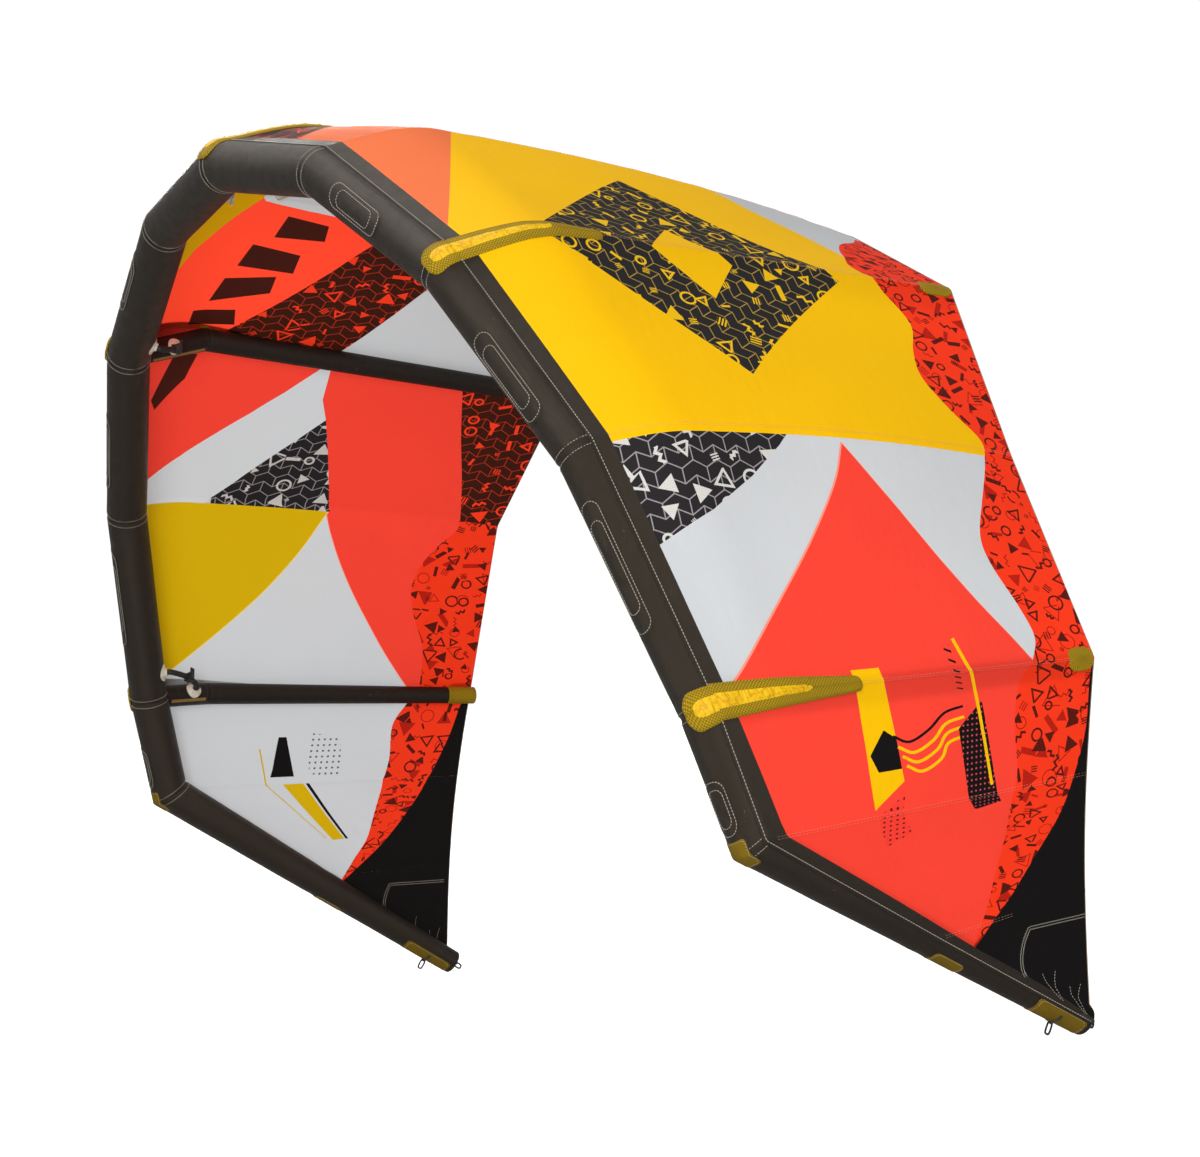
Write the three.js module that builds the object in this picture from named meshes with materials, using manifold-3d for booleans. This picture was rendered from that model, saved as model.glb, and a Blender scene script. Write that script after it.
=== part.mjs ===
// A kitesurf kite with an inflated leading edge and five inflated struts, in flight.
// Millimetres. +Z is up, +Y runs from the leading edge to the trailing edge, and the origin
// is the middle of the leading edge tube on the kite's centre line.
import * as THREE from "three";
import { mergeVertices } from "three/addons/utils/BufferGeometryUtils.js";
import Module from "manifold-3d";

const wasm = await Module();
wasm.setup();

// ---------------------------------------------------------------- driving dimensions

// The leading edge tube of the right wing: where its sewn segments meet, the tube's
// diameter there, and how far the steering twist lifts that point. The left wing is
// its mirror image, with the twist the other way.
const LEADING_EDGE = [
  { x: 0, y: 0, z: 0, diameter: 166, twist: 0 },
  { x: 669, y: 45, z: -116, diameter: 160, twist: 0 },
  { x: 1333, y: 131, z: -495, diameter: 154, twist: -4 },
  { x: 1832, y: 275, z: -1056, diameter: 147, twist: -17 },
  { x: 2150, y: 439, z: -1772, diameter: 141, twist: -37 },
  { x: 2223, y: 529, z: -2141, diameter: 138, twist: -34 },
  { x: 2180, y: 1111, z: -2499, diameter: 112, twist: 4 },
  { x: 2139, y: 1649, z: -2829, diameter: 90, twist: 39 },
];
// The trailing edge at the first five stations, and at the wing tip.
const TRAILING_EDGE = [
  { x: 0, y: 1960, z: -145, twist: 0 },
  { x: 690, y: 1940, z: -335, twist: 10 },
  { x: 1329, y: 1888, z: -615, twist: 45 },
  { x: 1757, y: 1779, z: -1137, twist: 17 },
  { x: 2109, y: 1787, z: -1769, twist: 30 },
];
const TIP_TRAILING = { x: 2167, y: 1649, z: -2774, twist: 24 };
const TIP_HOLLOW = 26; // how far the tip's trailing edge curves in
const OUTER_STRUT_STATION = 4;
const TIP_STATION = 7;

const CLEARANCE = 0.5; // between neighbouring pieces
const CLOTH = 3; // thickness that stands in for canopy cloth and casing cloth
const BLADDER_WALL = 3;

// Struts: the tube rises to a kink behind the leading edge and then runs straight back.
const STRUTS = [
  { name: "centre", side: 1, station: 0, front: 88, rear: 70 },
  { name: "inner_left", side: -1, station: 2, front: 84, rear: 68 },
  { name: "inner_right", side: 1, station: 2, front: 84, rear: 68 },
  { name: "outer_left", side: -1, station: 4, front: 82, rear: 62 },
  { name: "outer_right", side: 1, station: 4, front: 82, rear: 62 },
];
const KINK_CHORD = 0.18;
const KINK_RISE = [104, 110, 114, 80, 36, 36, 30, 25]; // at each station
const CANOPY_OVER_STRUT = 9;
const CANOPY_OVER_REAR = 6;
const CANOPY_OVER_TUBE = 4;
const BILLOW = 34; // how far the canopy swells between two struts
const END_COVER_LENGTH = 115;
const END_COVER_WALL = 2.4;

const TONGUE_THICKNESS = 5;
const TONGUE_LIFT = 7; // over the canopy and the tube
const TONGUE_HALF_WIDTH = 56;
const TONGUE_TAIL_HALF_WIDTH = 23;
const TONGUE_LENGTH = { 0: 0.3, 2: 0.265, 4: 0.36 }; // by station, as a share of the strut's length
const TONGUE_WRAP = 1.4; // radians round the front of the tube

const COLORS = {
  tube: 0x23201e,
  red: 0xff4a3a,
  orange: 0xff8550,
  yellow: 0xfcc600,
  olive: 0x8a6d12,
  white: 0xe6e6e2,
  black: 0x151515,
  bladder: 0xc8d2d6,
};

// ---------------------------------------------------------------- small helpers

const SIDES = { left: -1, right: 1 };
const lerp = (a, b, t) => a + (b - a) * t;
const V = (x, y, z) => new THREE.Vector3(x, y, z);

function along(values, position) {
  const low = Math.min(Math.floor(position), values.length - 2);
  return lerp(values[low], values[low + 1], position - low);
}

function toSolid(geometry) {
  const bare = geometry.clone();
  bare.deleteAttribute("normal");
  bare.deleteAttribute("uv");
  const merged = mergeVertices(bare, 1e-3);
  return new wasm.Manifold(
    new wasm.Mesh({
      numProp: 3,
      vertProperties: merged.attributes.position.array,
      triVerts: new Uint32Array(merged.index.array),
    }),
  );
}

function toGeometry(solid) {
  const mesh = solid.getMesh();
  const positions = new Float32Array(mesh.numVert * 3);
  for (let i = 0; i < mesh.numVert; i++) {
    const start = i * mesh.numProp;
    positions.set(mesh.vertProperties.subarray(start, start + 3), i * 3);
  }
  const geometry = new THREE.BufferGeometry();
  geometry.setAttribute("position", new THREE.BufferAttribute(positions, 3));
  geometry.setIndex(new THREE.BufferAttribute(mesh.triVerts, 1));
  geometry.computeVertexNormals();
  return geometry;
}

const kite = new THREE.Group();
kite.name = "kitesurf_kite";

function add(name, shape, color, roughness = 0.7) {
  const geometry = shape.isBufferGeometry ? shape : toGeometry(shape);
  geometry.computeVertexNormals();
  const material = new THREE.MeshStandardMaterial({ color, roughness, metalness: 0 });
  const mesh = new THREE.Mesh(geometry, material);
  mesh.name = name;
  kite.add(mesh);
}

// A closed skin over rings of points: every ring holds the same number of points, and the
// first and the last ring are closed by a fan about their centre.
function skinRings(rings) {
  const count = rings[0].length;
  const points = rings.flat();
  const index = [];
  for (let r = 0; r + 1 < rings.length; r++) {
    for (let i = 0; i < count; i++) {
      const j = (i + 1) % count;
      const a = r * count + i;
      const b = r * count + j;
      index.push(a, b, a + count, b, b + count, a + count);
    }
  }
  for (const [ring, flip] of [[0, true], [rings.length - 1, false]]) {
    const centre = V(0, 0, 0);
    rings[ring].forEach((p) => centre.add(p));
    points.push(centre.divideScalar(count));
    for (let i = 0; i < count; i++) {
      const a = ring * count + i;
      const b = ring * count + ((i + 1) % count);
      index.push(points.length - 1, flip ? b : a, flip ? a : b);
    }
  }
  return facingOut(points, index);
}

// A plate between two grids of points, which are the same size and a cloth's thickness apart.
function skinPlate(over, under) {
  const rows = over.length;
  const columns = over[0].length;
  const points = [...over.flat(), ...under.flat()];
  const offset = rows * columns;
  const index = [];
  const quad = (a, b, c, d) => index.push(a, b, c, a, c, d);
  for (let i = 0; i + 1 < rows; i++) {
    for (let j = 0; j + 1 < columns; j++) {
      const a = i * columns + j;
      quad(a, a + columns, a + columns + 1, a + 1);
      quad(offset + a, offset + a + 1, offset + a + columns + 1, offset + a + columns);
    }
  }
  const wall = (a, b) => quad(a, b, b + offset, a + offset);
  for (let i = 0; i + 1 < rows; i++) {
    wall((i + 1) * columns, i * columns);
    wall(i * columns + columns - 1, (i + 1) * columns + columns - 1);
  }
  for (let j = 0; j + 1 < columns; j++) {
    wall(j, j + 1);
    wall((rows - 1) * columns + j + 1, (rows - 1) * columns + j);
  }
  return facingOut(points, index);
}

// The geometry with its faces turned outwards.
function facingOut(points, index) {
  let volume = 0;
  for (let i = 0; i < index.length; i += 3) {
    const [a, b, c] = [points[index[i]], points[index[i + 1]], points[index[i + 2]]];
    volume += a.dot(V(0, 0, 0).crossVectors(b, c));
  }
  if (volume < 0) {
    for (let i = 0; i < index.length; i += 3) {
      [index[i + 1], index[i + 2]] = [index[i + 2], index[i + 1]];
    }
  }
  const geometry = new THREE.BufferGeometry().setFromPoints(points);
  geometry.setIndex(index);
  return geometry;
}

// A round solid from one point to another.
function rod(from, to, radius, segments = 14) {
  const axis = to.clone().sub(from);
  const geometry = new THREE.CylinderGeometry(radius, radius, axis.length(), segments);
  const turn = new THREE.Quaternion().setFromUnitVectors(V(0, 1, 0), axis.clone().normalize());
  geometry.applyQuaternion(turn);
  geometry.translate(...from.clone().add(to).multiplyScalar(0.5).toArray());
  return toSolid(geometry);
}

// A box whose own X, Y and Z lie along the three given directions.
function box(centre, [dx, dy], size) {
  const dz = V(0, 0, 0).crossVectors(dx, dy);
  const geometry = new THREE.BoxGeometry(...size);
  geometry.applyMatrix4(new THREE.Matrix4().makeBasis(dx, dy, dz).setPosition(centre));
  return toSolid(geometry);
}

// ---------------------------------------------------------------- the kite's shape

const place = (p, side) => V(side * p.x, p.y, p.z + side * p.twist);

function leadingPoint(side, station) {
  const low = Math.min(Math.floor(station), TIP_STATION - 1);
  const a = place(LEADING_EDGE[low], side);
  const b = place(LEADING_EDGE[low + 1], side);
  return a.lerp(b, station - low);
}

const tubeRadius = (station) =>
  along(LEADING_EDGE.map((p) => p.diameter / 2), station);

function trailingPoint(side, station) {
  if (station >= OUTER_STRUT_STATION) {
    const share = (station - OUTER_STRUT_STATION) / (TIP_STATION - OUTER_STRUT_STATION);
    const straight = place(TRAILING_EDGE.at(-1), side).lerp(place(TIP_TRAILING, side), share);
    return straight.add(V(0, -TIP_HOLLOW * Math.sin(Math.PI * share), 0));
  }
  const low = Math.floor(station);
  const a = place(TRAILING_EDGE[low], side);
  return a.lerp(place(TRAILING_EDGE[low + 1], side), station - low);
}

// Away from the space under the arch, square to the chord and to the span.
function outwardAt(side, index) {
  const at = Math.min(index, TIP_STATION - 1);
  const middle = (i) => {
    const flip = i < 0 ? -side : side;
    return leadingPoint(flip, Math.abs(i)).add(trailingPoint(flip, Math.abs(i)));
  };
  const span = middle(at + 1).sub(middle(at - 1));
  const chord = trailingPoint(side, at).sub(leadingPoint(side, at));
  return span.cross(chord).multiplyScalar(side).normalize();
}

function outward(side, station) {
  const low = Math.min(Math.floor(station), TIP_STATION - 1);
  const a = outwardAt(side, low);
  return a.lerp(outwardAt(side, low + 1), station - low).normalize();
}

const strutRadius = (station, chord) => {
  const share = Math.min(station / OUTER_STRUT_STATION, 1);
  return lerp(lerp(44, 41, share), lerp(35, 31, share), chord);
};

// How far a strut's end lies under the canopy's trailing edge.
const endDrop = (station) => strutRadius(station, 1) + CANOPY_OVER_STRUT - CANOPY_OVER_REAR;

// Height of the canopy over the straight line from the leading edge to the trailing edge.
function canopyHeight(station, chord) {
  const rise = along(KINK_RISE, station);
  const fade = Math.max(0, station - OUTER_STRUT_STATION) / (TIP_STATION - OUTER_STRUT_STATION);
  const strutTop = CANOPY_OVER_STRUT + strutRadius(station, Math.max(chord, KINK_CHORD));
  const inArch = station < OUTER_STRUT_STATION;
  const between = inArch ? Math.sin((Math.PI * station) / 2) ** 2 : Math.min(1, 5 * fade);
  const over = (1 - fade) * lerp(strutTop, CANOPY_OVER_REAR, between * chord ** 3);
  const front = tubeRadius(station) + CLOTH / 2 + CLEARANCE + 1;
  const billow = inArch ? BILLOW * between * 4 * chord * (1 - chord) : 0;
  const drop = (1 - fade) * (1 - between) * endDrop(station);
  const slope = -(rise + drop) / (1 - KINK_CHORD);
  if (chord >= KINK_CHORD) {
    return rise + slope * (chord - KINK_CHORD) + over + 8 * fade + billow;
  }
  const top = rise + over + 8 * fade;
  const t = chord / KINK_CHORD;
  const steep = 1.5 * (top - front);
  const rest = (1 - t) ** 2 * (1 + 2 * t) * front + t * (1 - t) ** 2 * steep;
  return rest + t * t * (3 - 2 * t) * top + t * t * (t - 1) * slope * KINK_CHORD + billow;
}

function tubeAxis(side, station) {
  const low = Math.min(Math.floor(station), TIP_STATION - 1);
  return leadingPoint(side, low + 1).sub(leadingPoint(side, low)).normalize();
}

function canopyPoint(side, station, chord, lift = 0) {
  const front = leadingPoint(side, station);
  const base = front.clone().lerp(trailingPoint(side, station), chord);
  const clear = tubeRadius(station) + CLOTH / 2 + CANOPY_OVER_TUBE;
  const behind = V(0, 0, 0).crossVectors(base.clone().sub(front), tubeAxis(side, station)).length();
  const tubeTop = Math.sqrt(Math.max(0, clear ** 2 - behind ** 2));
  const height = Math.max(canopyHeight(station, chord), tubeTop) + lift;
  return base.addScaledVector(outward(side, station), height);
}

// ---------------------------------------------------------------- leading edge tube

// A ring round the tube in the plane that halves the bend at a station.
function tubeRing(side, index, radius, shift, count) {
  const here = leadingPoint(side, index);
  const before = index > 0 ? leadingPoint(side, index - 1) : leadingPoint(-side, 1);
  const after = leadingPoint(side, Math.min(index + 1, TIP_STATION));
  const arriving = here.clone().sub(before).normalize();
  const leaving = index < TIP_STATION ? after.sub(here).normalize() : arriving.clone();
  const tangent = arriving.clone().add(leaving).normalize();
  const bend = leaving.clone().sub(arriving);
  const stretch = 1 / arriving.dot(tangent) - 1;
  const across = outward(side, index);
  across.addScaledVector(tangent, -across.dot(tangent)).normalize();
  const third = V(0, 0, 0).crossVectors(tangent, across);
  const ring = [];
  for (let i = 0; i < count; i++) {
    const angle = (2 * Math.PI * i) / count;
    const spoke = across.clone().multiplyScalar(Math.cos(angle));
    spoke.addScaledVector(third, Math.sin(angle));
    if (bend.length() > 1e-6) {
      const along = bend.clone().normalize();
      spoke.addScaledVector(along, spoke.dot(along) * stretch);
    }
    ring.push(here.clone().addScaledVector(spoke, radius).addScaledVector(tangent, shift));
  }
  return ring;
}

const ringAt = (side, index, inset, shift, count = 16) =>
  tubeRing(side, index, LEADING_EDGE[index].diameter / 2 - inset, shift, count);

function tubeSpan(side, first, last, inset, trim, count) {
  const rings = [];
  for (let i = first; i <= last; i++) {
    const shift = i === first ? trim : i === last ? -trim : 0;
    rings.push(ringAt(side, i, inset, shift, count));
  }
  return toSolid(skinRings(rings));
}

const tubeSegments = ["centre", "quarter", "shoulder", "outer", "corner", "tip"];

// Solid tubes used to cut the pieces that rest against the leading edge.
const tubeCutter = {};
for (const [sideName, side] of Object.entries(SIDES)) {
  tubeCutter[sideName] = tubeSpan(side, 0, TIP_STATION, -CLEARANCE, 0, 16);
}
const wholeTube = tubeCutter.left.add(tubeCutter.right);

for (const [sideName, side] of Object.entries(SIDES)) {
  tubeSegments.forEach((segment, i) => {
    const last = segment === "tip" ? TIP_STATION : i + 1;
    const outer = tubeSpan(side, i, last, 0, CLEARANCE / 2);
    let hollow = tubeSpan(side, i, last, CLOTH, -1);
    if (segment === "tip") {
      const end = leadingPoint(side, TIP_STATION);
      const inner = leadingPoint(side, TIP_STATION - 1);
      const inwards = inner.clone().sub(end).normalize();
      const wall = rod(
        end.clone().addScaledVector(inwards, -20),
        end.clone().addScaledVector(inwards, CLOTH),
        LEADING_EDGE[TIP_STATION].diameter,
      );
      hollow = hollow.subtract(wall);
    }
    const shell = outer.subtract(hollow);
    add(`le_casing_${segment}_${sideName}`, shell, COLORS.tube);
  });
}

// The bladder inside the whole leading edge, open where the inflate valve is welded on.
const INFLATE_SIDE = -1;
const DUMP_SIDE = 1;
const VALVE_STATION = 0.42;

// A place on the tube's wall: where it is, and which way it faces.
function onTube(side, station, inwardShare, rearShare) {
  const centre = leadingPoint(side, station);
  const chord = trailingPoint(side, station).sub(centre).normalize();
  const axis = tubeAxis(side, station);
  const facing = outward(side, station).multiplyScalar(-inwardShare);
  facing.addScaledVector(chord, rearShare);
  facing.addScaledVector(axis, -facing.dot(axis)).normalize();
  return { centre, facing, axis, radius: tubeRadius(station) };
}

const inflatePlace = onTube(INFLATE_SIDE, VALVE_STATION, 0, 1);
const dumpPlace = onTube(DUMP_SIDE, VALVE_STATION, 0.7, 0.7);

const bladderOuter = tubeSpan(-1, 0, TIP_STATION, CLOTH + CLEARANCE + 4, 0, 12).add(
  tubeSpan(1, 0, TIP_STATION, CLOTH + CLEARANCE + 4, 0, 12),
);
const bladderInner = tubeSpan(-1, 0, TIP_STATION, CLOTH + CLEARANCE + 4 + BLADDER_WALL, 0, 12).add(
  tubeSpan(1, 0, TIP_STATION, CLOTH + CLEARANCE + 4 + BLADDER_WALL, 0, 12),
);
const bladderEnds = Object.values(SIDES).map((side) => {
  const end = leadingPoint(side, TIP_STATION);
  const inwards = leadingPoint(side, TIP_STATION - 1).sub(end).normalize();
  const reach = (length) => end.clone().addScaledVector(inwards, length);
  return { outer: rod(reach(-20), reach(10), 90), inner: rod(reach(-20), reach(10 + BLADDER_WALL), 90) };
});
const valveHole = rod(
  inflatePlace.centre,
  inflatePlace.centre.clone().addScaledVector(inflatePlace.facing, inflatePlace.radius + 20),
  9,
  12,
);
const bladderBody = bladderEnds.reduce((solid, end) => solid.subtract(end.outer), bladderOuter);
const bladderAir = bladderEnds.reduce((solid, end) => solid.subtract(end.inner), bladderInner);
add("le_bladder", bladderBody.subtract(bladderAir).subtract(valveHole), COLORS.bladder, 0.35);

// ---------------------------------------------------------------- canopy

const BAYS = [
  { name: "centre", from: 0, to: 2, rows: 6 },
  { name: "outer", from: 2, to: 4, rows: 6 },
  { name: "tip", from: 4, to: TIP_STATION, rows: 9 },
];
const CHORD_LINES = [0.012, 0.07, 0.13, 0.18, 0.25, 0.36, 0.52, 0.7, 0.86, 1];

for (const [sideName, side] of Object.entries(SIDES)) {
  for (const bay of BAYS) {
    const surfaces = [CLOTH / 2, -CLOTH / 2].map((lift) => {
      const grid = [];
      for (let i = 0; i <= bay.rows; i++) {
        const gap = i === 0 ? 0.0015 : i === bay.rows ? -0.0015 : 0;
        const station = lerp(bay.from, bay.to, i / bay.rows) + gap;
        grid.push(CHORD_LINES.map((chord) => canopyPoint(side, station, chord, lift)));
      }
      return grid;
    });
    const color = { centre: COLORS.orange, outer: COLORS.yellow, tip: COLORS.red }[bay.name];
    add(`canopy_${bay.name}_${sideName}`, skinPlate(...surfaces), color, 0.6);
  }
}

// ---------------------------------------------------------------- struts

function strutLine(side, station) {
  const front = leadingPoint(side, station);
  const trailing = trailingPoint(side, station);
  const up = outward(side, station);
  const kink = front.clone().lerp(trailing, KINK_CHORD).addScaledVector(up, KINK_RISE[station]);
  const rear = trailing.addScaledVector(up, -endDrop(station));
  return { front, kink, rear, up };
}

function strutRings(strut, inset, endTrim, count = 12) {
  const { front, kink, rear, up } = strutLine(strut.side, strut.station);
  const first = kink.clone().sub(front).normalize();
  const second = rear.clone().sub(kink).normalize();
  const mid = first.clone().add(second).normalize();
  const sideways = V(0, 0, 0).crossVectors(first, up).normalize();
  const ring = (centre, tangent, radius) => {
    const across = V(0, 0, 0).crossVectors(sideways, tangent).normalize();
    return Array.from({ length: count }, (_, i) => {
      const angle = (2 * Math.PI * (i + 0.5)) / count;
      const p = centre.clone().addScaledVector(across, radius * Math.cos(angle));
      return p.addScaledVector(sideways, radius * Math.sin(angle));
    });
  };
  const radii = [strut.front / 2 - inset, strut.front / 2 - inset, strut.rear / 2 - inset];
  return [
    ring(front, first, radii[0]),
    ring(kink, mid, radii[1]),
    ring(rear.clone().addScaledVector(second, -endTrim), second, radii[2]),
  ];
}

// A place on the strut's wall, facing the kite's centre and the inside of the arch.
function onStrut(strut, distance) {
  const { front, kink, up } = strutLine(strut.side, strut.station);
  const axis = kink.clone().sub(front).normalize();
  const sideways = V(0, 0, 0).crossVectors(axis, up).normalize();
  const towards = leadingPoint(strut.side, strut.station + 0.1).sub(front);
  if (sideways.dot(towards) > 0 === strut.station > 0) {
    sideways.negate();
  }
  const inwards = V(0, 0, 0).crossVectors(axis, sideways).normalize();
  if (inwards.dot(up) > 0) {
    inwards.negate();
  }
  const facing = sideways.multiplyScalar(0.75).addScaledVector(inwards, 0.66).normalize();
  return { centre: front.addScaledVector(axis, distance), facing, axis, radius: strut.front / 2 };
}

// A puck with a saddle-shaped underside that sits on a tube.
function port(seat, radius, height, tube) {
  const from = seat.centre.clone().addScaledVector(seat.facing, seat.radius - 16);
  const to = seat.centre.clone().addScaledVector(seat.facing, seat.radius + height);
  return rod(from, to, radius).subtract(tube);
}

function sweep(points, radius, steps, sides = 8) {
  const shape = new THREE.Shape();
  for (let i = 0; i < sides; i++) {
    const angle = (2 * Math.PI * i) / sides;
    const [x, y] = [radius * Math.cos(angle), radius * Math.sin(angle)];
    i === 0 ? shape.moveTo(x, y) : shape.lineTo(x, y);
  }
  shape.closePath();
  const path = new THREE.CatmullRomCurve3(points);
  const settings = { steps, bevelEnabled: false, extrudePath: path, curveSegments: 1 };
  return toSolid(new THREE.ExtrudeGeometry(shape, settings));
}

const PORT_RADIUS = 34;
const PORT_HEIGHT = 8;
const HOSE_RADIUS = 11;
const CLIP = { length: 46, width: 24, thickness: 6, gap: 0.8 };

for (const strut of STRUTS) {
  const outer = toSolid(skinRings(strutRings(strut, 0, 0)));
  const hollow = toSolid(skinRings(strutRings(strut, CLOTH, CLOTH)));
  const casing = outer.subtract(hollow).subtract(wholeTube);
  const pieces = casing.decompose().sort((a, b) => b.volume() - a.volume());
  add(`strut_casing_${strut.name}`, pieces[0], COLORS.tube);

  const inset = CLOTH + CLEARANCE + 1;
  const skin = toSolid(skinRings(strutRings(strut, inset, 12)));
  const air = toSolid(skinRings(strutRings(strut, inset + BLADDER_WALL, 12 + BLADDER_WALL)));
  const seat = onStrut(strut, 150);
  const inlet = rod(
    seat.centre,
    seat.centre.clone().addScaledVector(seat.facing, seat.radius + 5),
    7,
    10,
  );
  const { front, kink } = strutLine(strut.side, strut.station);
  const start = kink.clone().sub(front).normalize();
  const clear = tubeRadius(strut.station) + 12;
  const cutAt = (distance) =>
    rod(front.clone().addScaledVector(start, -200), front.clone().addScaledVector(start, distance), 120);
  const bladder = skin.subtract(cutAt(clear)).subtract(air.subtract(cutAt(clear + BLADDER_WALL)));
  add(`strut_bladder_${strut.name}`, bladder.subtract(inlet), COLORS.bladder, 0.35);

  const [, middle, rear] = strutRings(strut, -END_COVER_WALL - CLEARANCE, 0);
  const coverAxis = strutLine(strut.side, strut.station).rear.sub(kink).normalize();
  const slice = (ring, distance) => ring.map((p) => p.clone().addScaledVector(coverAxis, distance));
  const sleeve = toSolid(
    skinRings([slice(rear, -END_COVER_LENGTH), slice(rear, END_COVER_WALL + CLEARANCE)]),
  );
  const [, , inside] = strutRings(strut, -CLEARANCE - 0.9, 0);
  const pocket = toSolid(skinRings([slice(inside, -END_COVER_LENGTH - 5), slice(inside, CLEARANCE)]));
  add(`strut_end_cover_${strut.name}`, sleeve.subtract(pocket), COLORS.olive, 0.8);
}

// ---------------------------------------------------------------- one-pump hoses and clips

for (const strut of STRUTS) {
  const spacing = strut.station === 0 ? 0.16 : -0.14;
  const tubeSeat = onTube(strut.side, strut.station + spacing, 0.45, 0.89);
  const strutSeat = onStrut(strut, 176);
  const strutSolid = toSolid(skinRings(strutRings(strut, -CLEARANCE, 0)));
  const top = (seat, extra) =>
    seat.centre.clone().addScaledVector(seat.facing, seat.radius + PORT_HEIGHT + extra);
  const bulge = tubeSeat.facing.clone().add(strutSeat.facing).normalize();
  const path = [
    top(tubeSeat, -3),
    top(tubeSeat, 22),
    top(tubeSeat, 30).add(top(strutSeat, 30)).multiplyScalar(0.5).addScaledVector(bulge, 14),
    top(strutSeat, 22),
    top(strutSeat, -3),
  ];
  const hose = sweep(path, HOSE_RADIUS, 10)
    .add(port(tubeSeat, PORT_RADIUS, PORT_HEIGHT, wholeTube))
    .add(port(strutSeat, PORT_RADIUS - 4, PORT_HEIGHT, strutSolid));

  const curve = new THREE.CatmullRomCurve3(path);
  const middle = curve.getPoint(0.5);
  const run = curve.getTangent(0.5);
  const away = bulge.clone().addScaledVector(run, -bulge.dot(run)).normalize();
  const across = V(0, 0, 0).crossVectors(away, run);
  const axes = [run, across, away];
  const saddle = box(middle, axes, [CLIP.width, 30, 2 * HOSE_RADIUS + 6]);
  const lugPlace = middle.clone().addScaledVector(away, HOSE_RADIUS + 2.5).addScaledVector(across, -15);
  const lug = box(lugPlace, axes, [CLIP.width, 5, 8]);
  add(`hose_${strut.name}`, hose.add(saddle).add(lug).subtract(wholeTube), COLORS.black, 0.5);

  const leverPlace = middle.clone().addScaledVector(away, HOSE_RADIUS + 3 + CLIP.gap + CLIP.thickness / 2);
  leverPlace.addScaledVector(across, CLIP.length / 2 - 11.5);
  const lever = box(leverPlace, axes, [CLIP.width - 4, CLIP.length, CLIP.thickness]);
  add(`hose_clip_${strut.name}`, lever, COLORS.black, 0.45);
}

// ---------------------------------------------------------------- inflate and dump valves

const VALVE = { flange: 40, flangeHeight: 6, neck: 25, neckHeight: 24, bore: 10, cap: 27, capHeight: 8 };

for (const [name, seat] of [["inflate_valve", inflatePlace], ["dump_valve", dumpPlace]]) {
  const level = (height) => seat.centre.clone().addScaledVector(seat.facing, seat.radius + height);
  const flange = port(seat, VALVE.flange, VALVE.flangeHeight, wholeTube);
  const neck = rod(level(VALVE.flangeHeight - 1), level(VALVE.neckHeight), VALVE.neck, 24);
  const bore = rod(level(VALVE.flangeHeight - 2), level(VALVE.neckHeight + 5), VALVE.bore, 16);
  add(`${name}_body`, flange.add(neck).subtract(bore), COLORS.white, 0.4);
  const sideways = V(0, 0, 0).crossVectors(seat.axis, seat.facing).normalize();
  const lugCentre = level(VALVE.neckHeight + 0.8 + VALVE.capHeight / 2).addScaledVector(sideways, VALVE.cap + 3);
  const lug = box(lugCentre, [seat.axis, sideways, seat.facing], [14, 10, VALVE.capHeight]);
  const capFloor = VALVE.neckHeight + 0.8;
  const cap = rod(level(capFloor), level(capFloor + VALVE.capHeight), VALVE.cap, 24);
  add(`${name}_cap`, cap.add(lug), COLORS.white, 0.4);
}

// ---------------------------------------------------------------- tongues

// A point over the outside of the kite at a strut. Distance is measured from the crest of
// the leading edge tube: negative runs round the front of the tube, positive runs aft.
function overOutside(side, station, distance, lift) {
  const up = outward(side, station);
  const centre = leadingPoint(side, station);
  const chord = trailingPoint(side, station).sub(centre);
  if (distance < 0) {
    const radius = tubeRadius(station);
    const angle = -distance / radius;
    const ahead = chord.clone().normalize().negate();
    const reach = radius + CLOTH + TONGUE_LIFT + lift;
    centre.addScaledVector(up, reach * Math.cos(angle));
    return centre.addScaledVector(ahead, reach * Math.sin(angle));
  }
  return canopyPoint(side, station, distance / chord.length(), CLOTH / 2 + TONGUE_LIFT + lift);
}

for (const strut of STRUTS) {
  const { side, station } = strut;
  const length = trailingPoint(side, station).distanceTo(leadingPoint(side, station));
  const spanStep = (to) => 10 * leadingPoint(side, station).distanceTo(leadingPoint(side, Math.abs(station + to)));
  const steps = { outwards: spanStep(0.1), inwards: spanStep(-0.1) };
  const front = -TONGUE_WRAP * tubeRadius(station);
  const rear = TONGUE_LENGTH[station] * length;
  const lines = [0, 0.03, 0.08, 0.15, 0.24, 0.36, 0.5, 0.66, 0.83, 0.95, 1];
  const widthAt = (t) => {
    const body = lerp(TONGUE_HALF_WIDTH, TONGUE_TAIL_HALF_WIDTH, t ** 1.4);
    const nose = Math.sqrt(Math.min(1, (t + 0.012) / 0.1));
    const tail = Math.sqrt(Math.min(1, (1.012 - t) / 0.06));
    return body * nose * tail;
  };
  const shares = [-1, -0.6, 0, 0.6, 1];
  const surface = (lift) =>
    lines.map((t) =>
      shares.map((share) => {
        const offset = (share * widthAt(t)) / (share < 0 ? steps.inwards : steps.outwards);
        const flip = station + offset < 0 ? -1 : 1;
        return overOutside(side * flip, Math.abs(station + offset), lerp(front, rear, t), lift);
      }),
    );
  add(`tongue_${strut.name}`, skinPlate(surface(TONGUE_THICKNESS), surface(0)), COLORS.yellow, 0.6);
}

// ---------------------------------------------------------------- line loops at the tips

const LOOP = { length: 44, width: 24, bar: 7, thickness: 6 };

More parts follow.
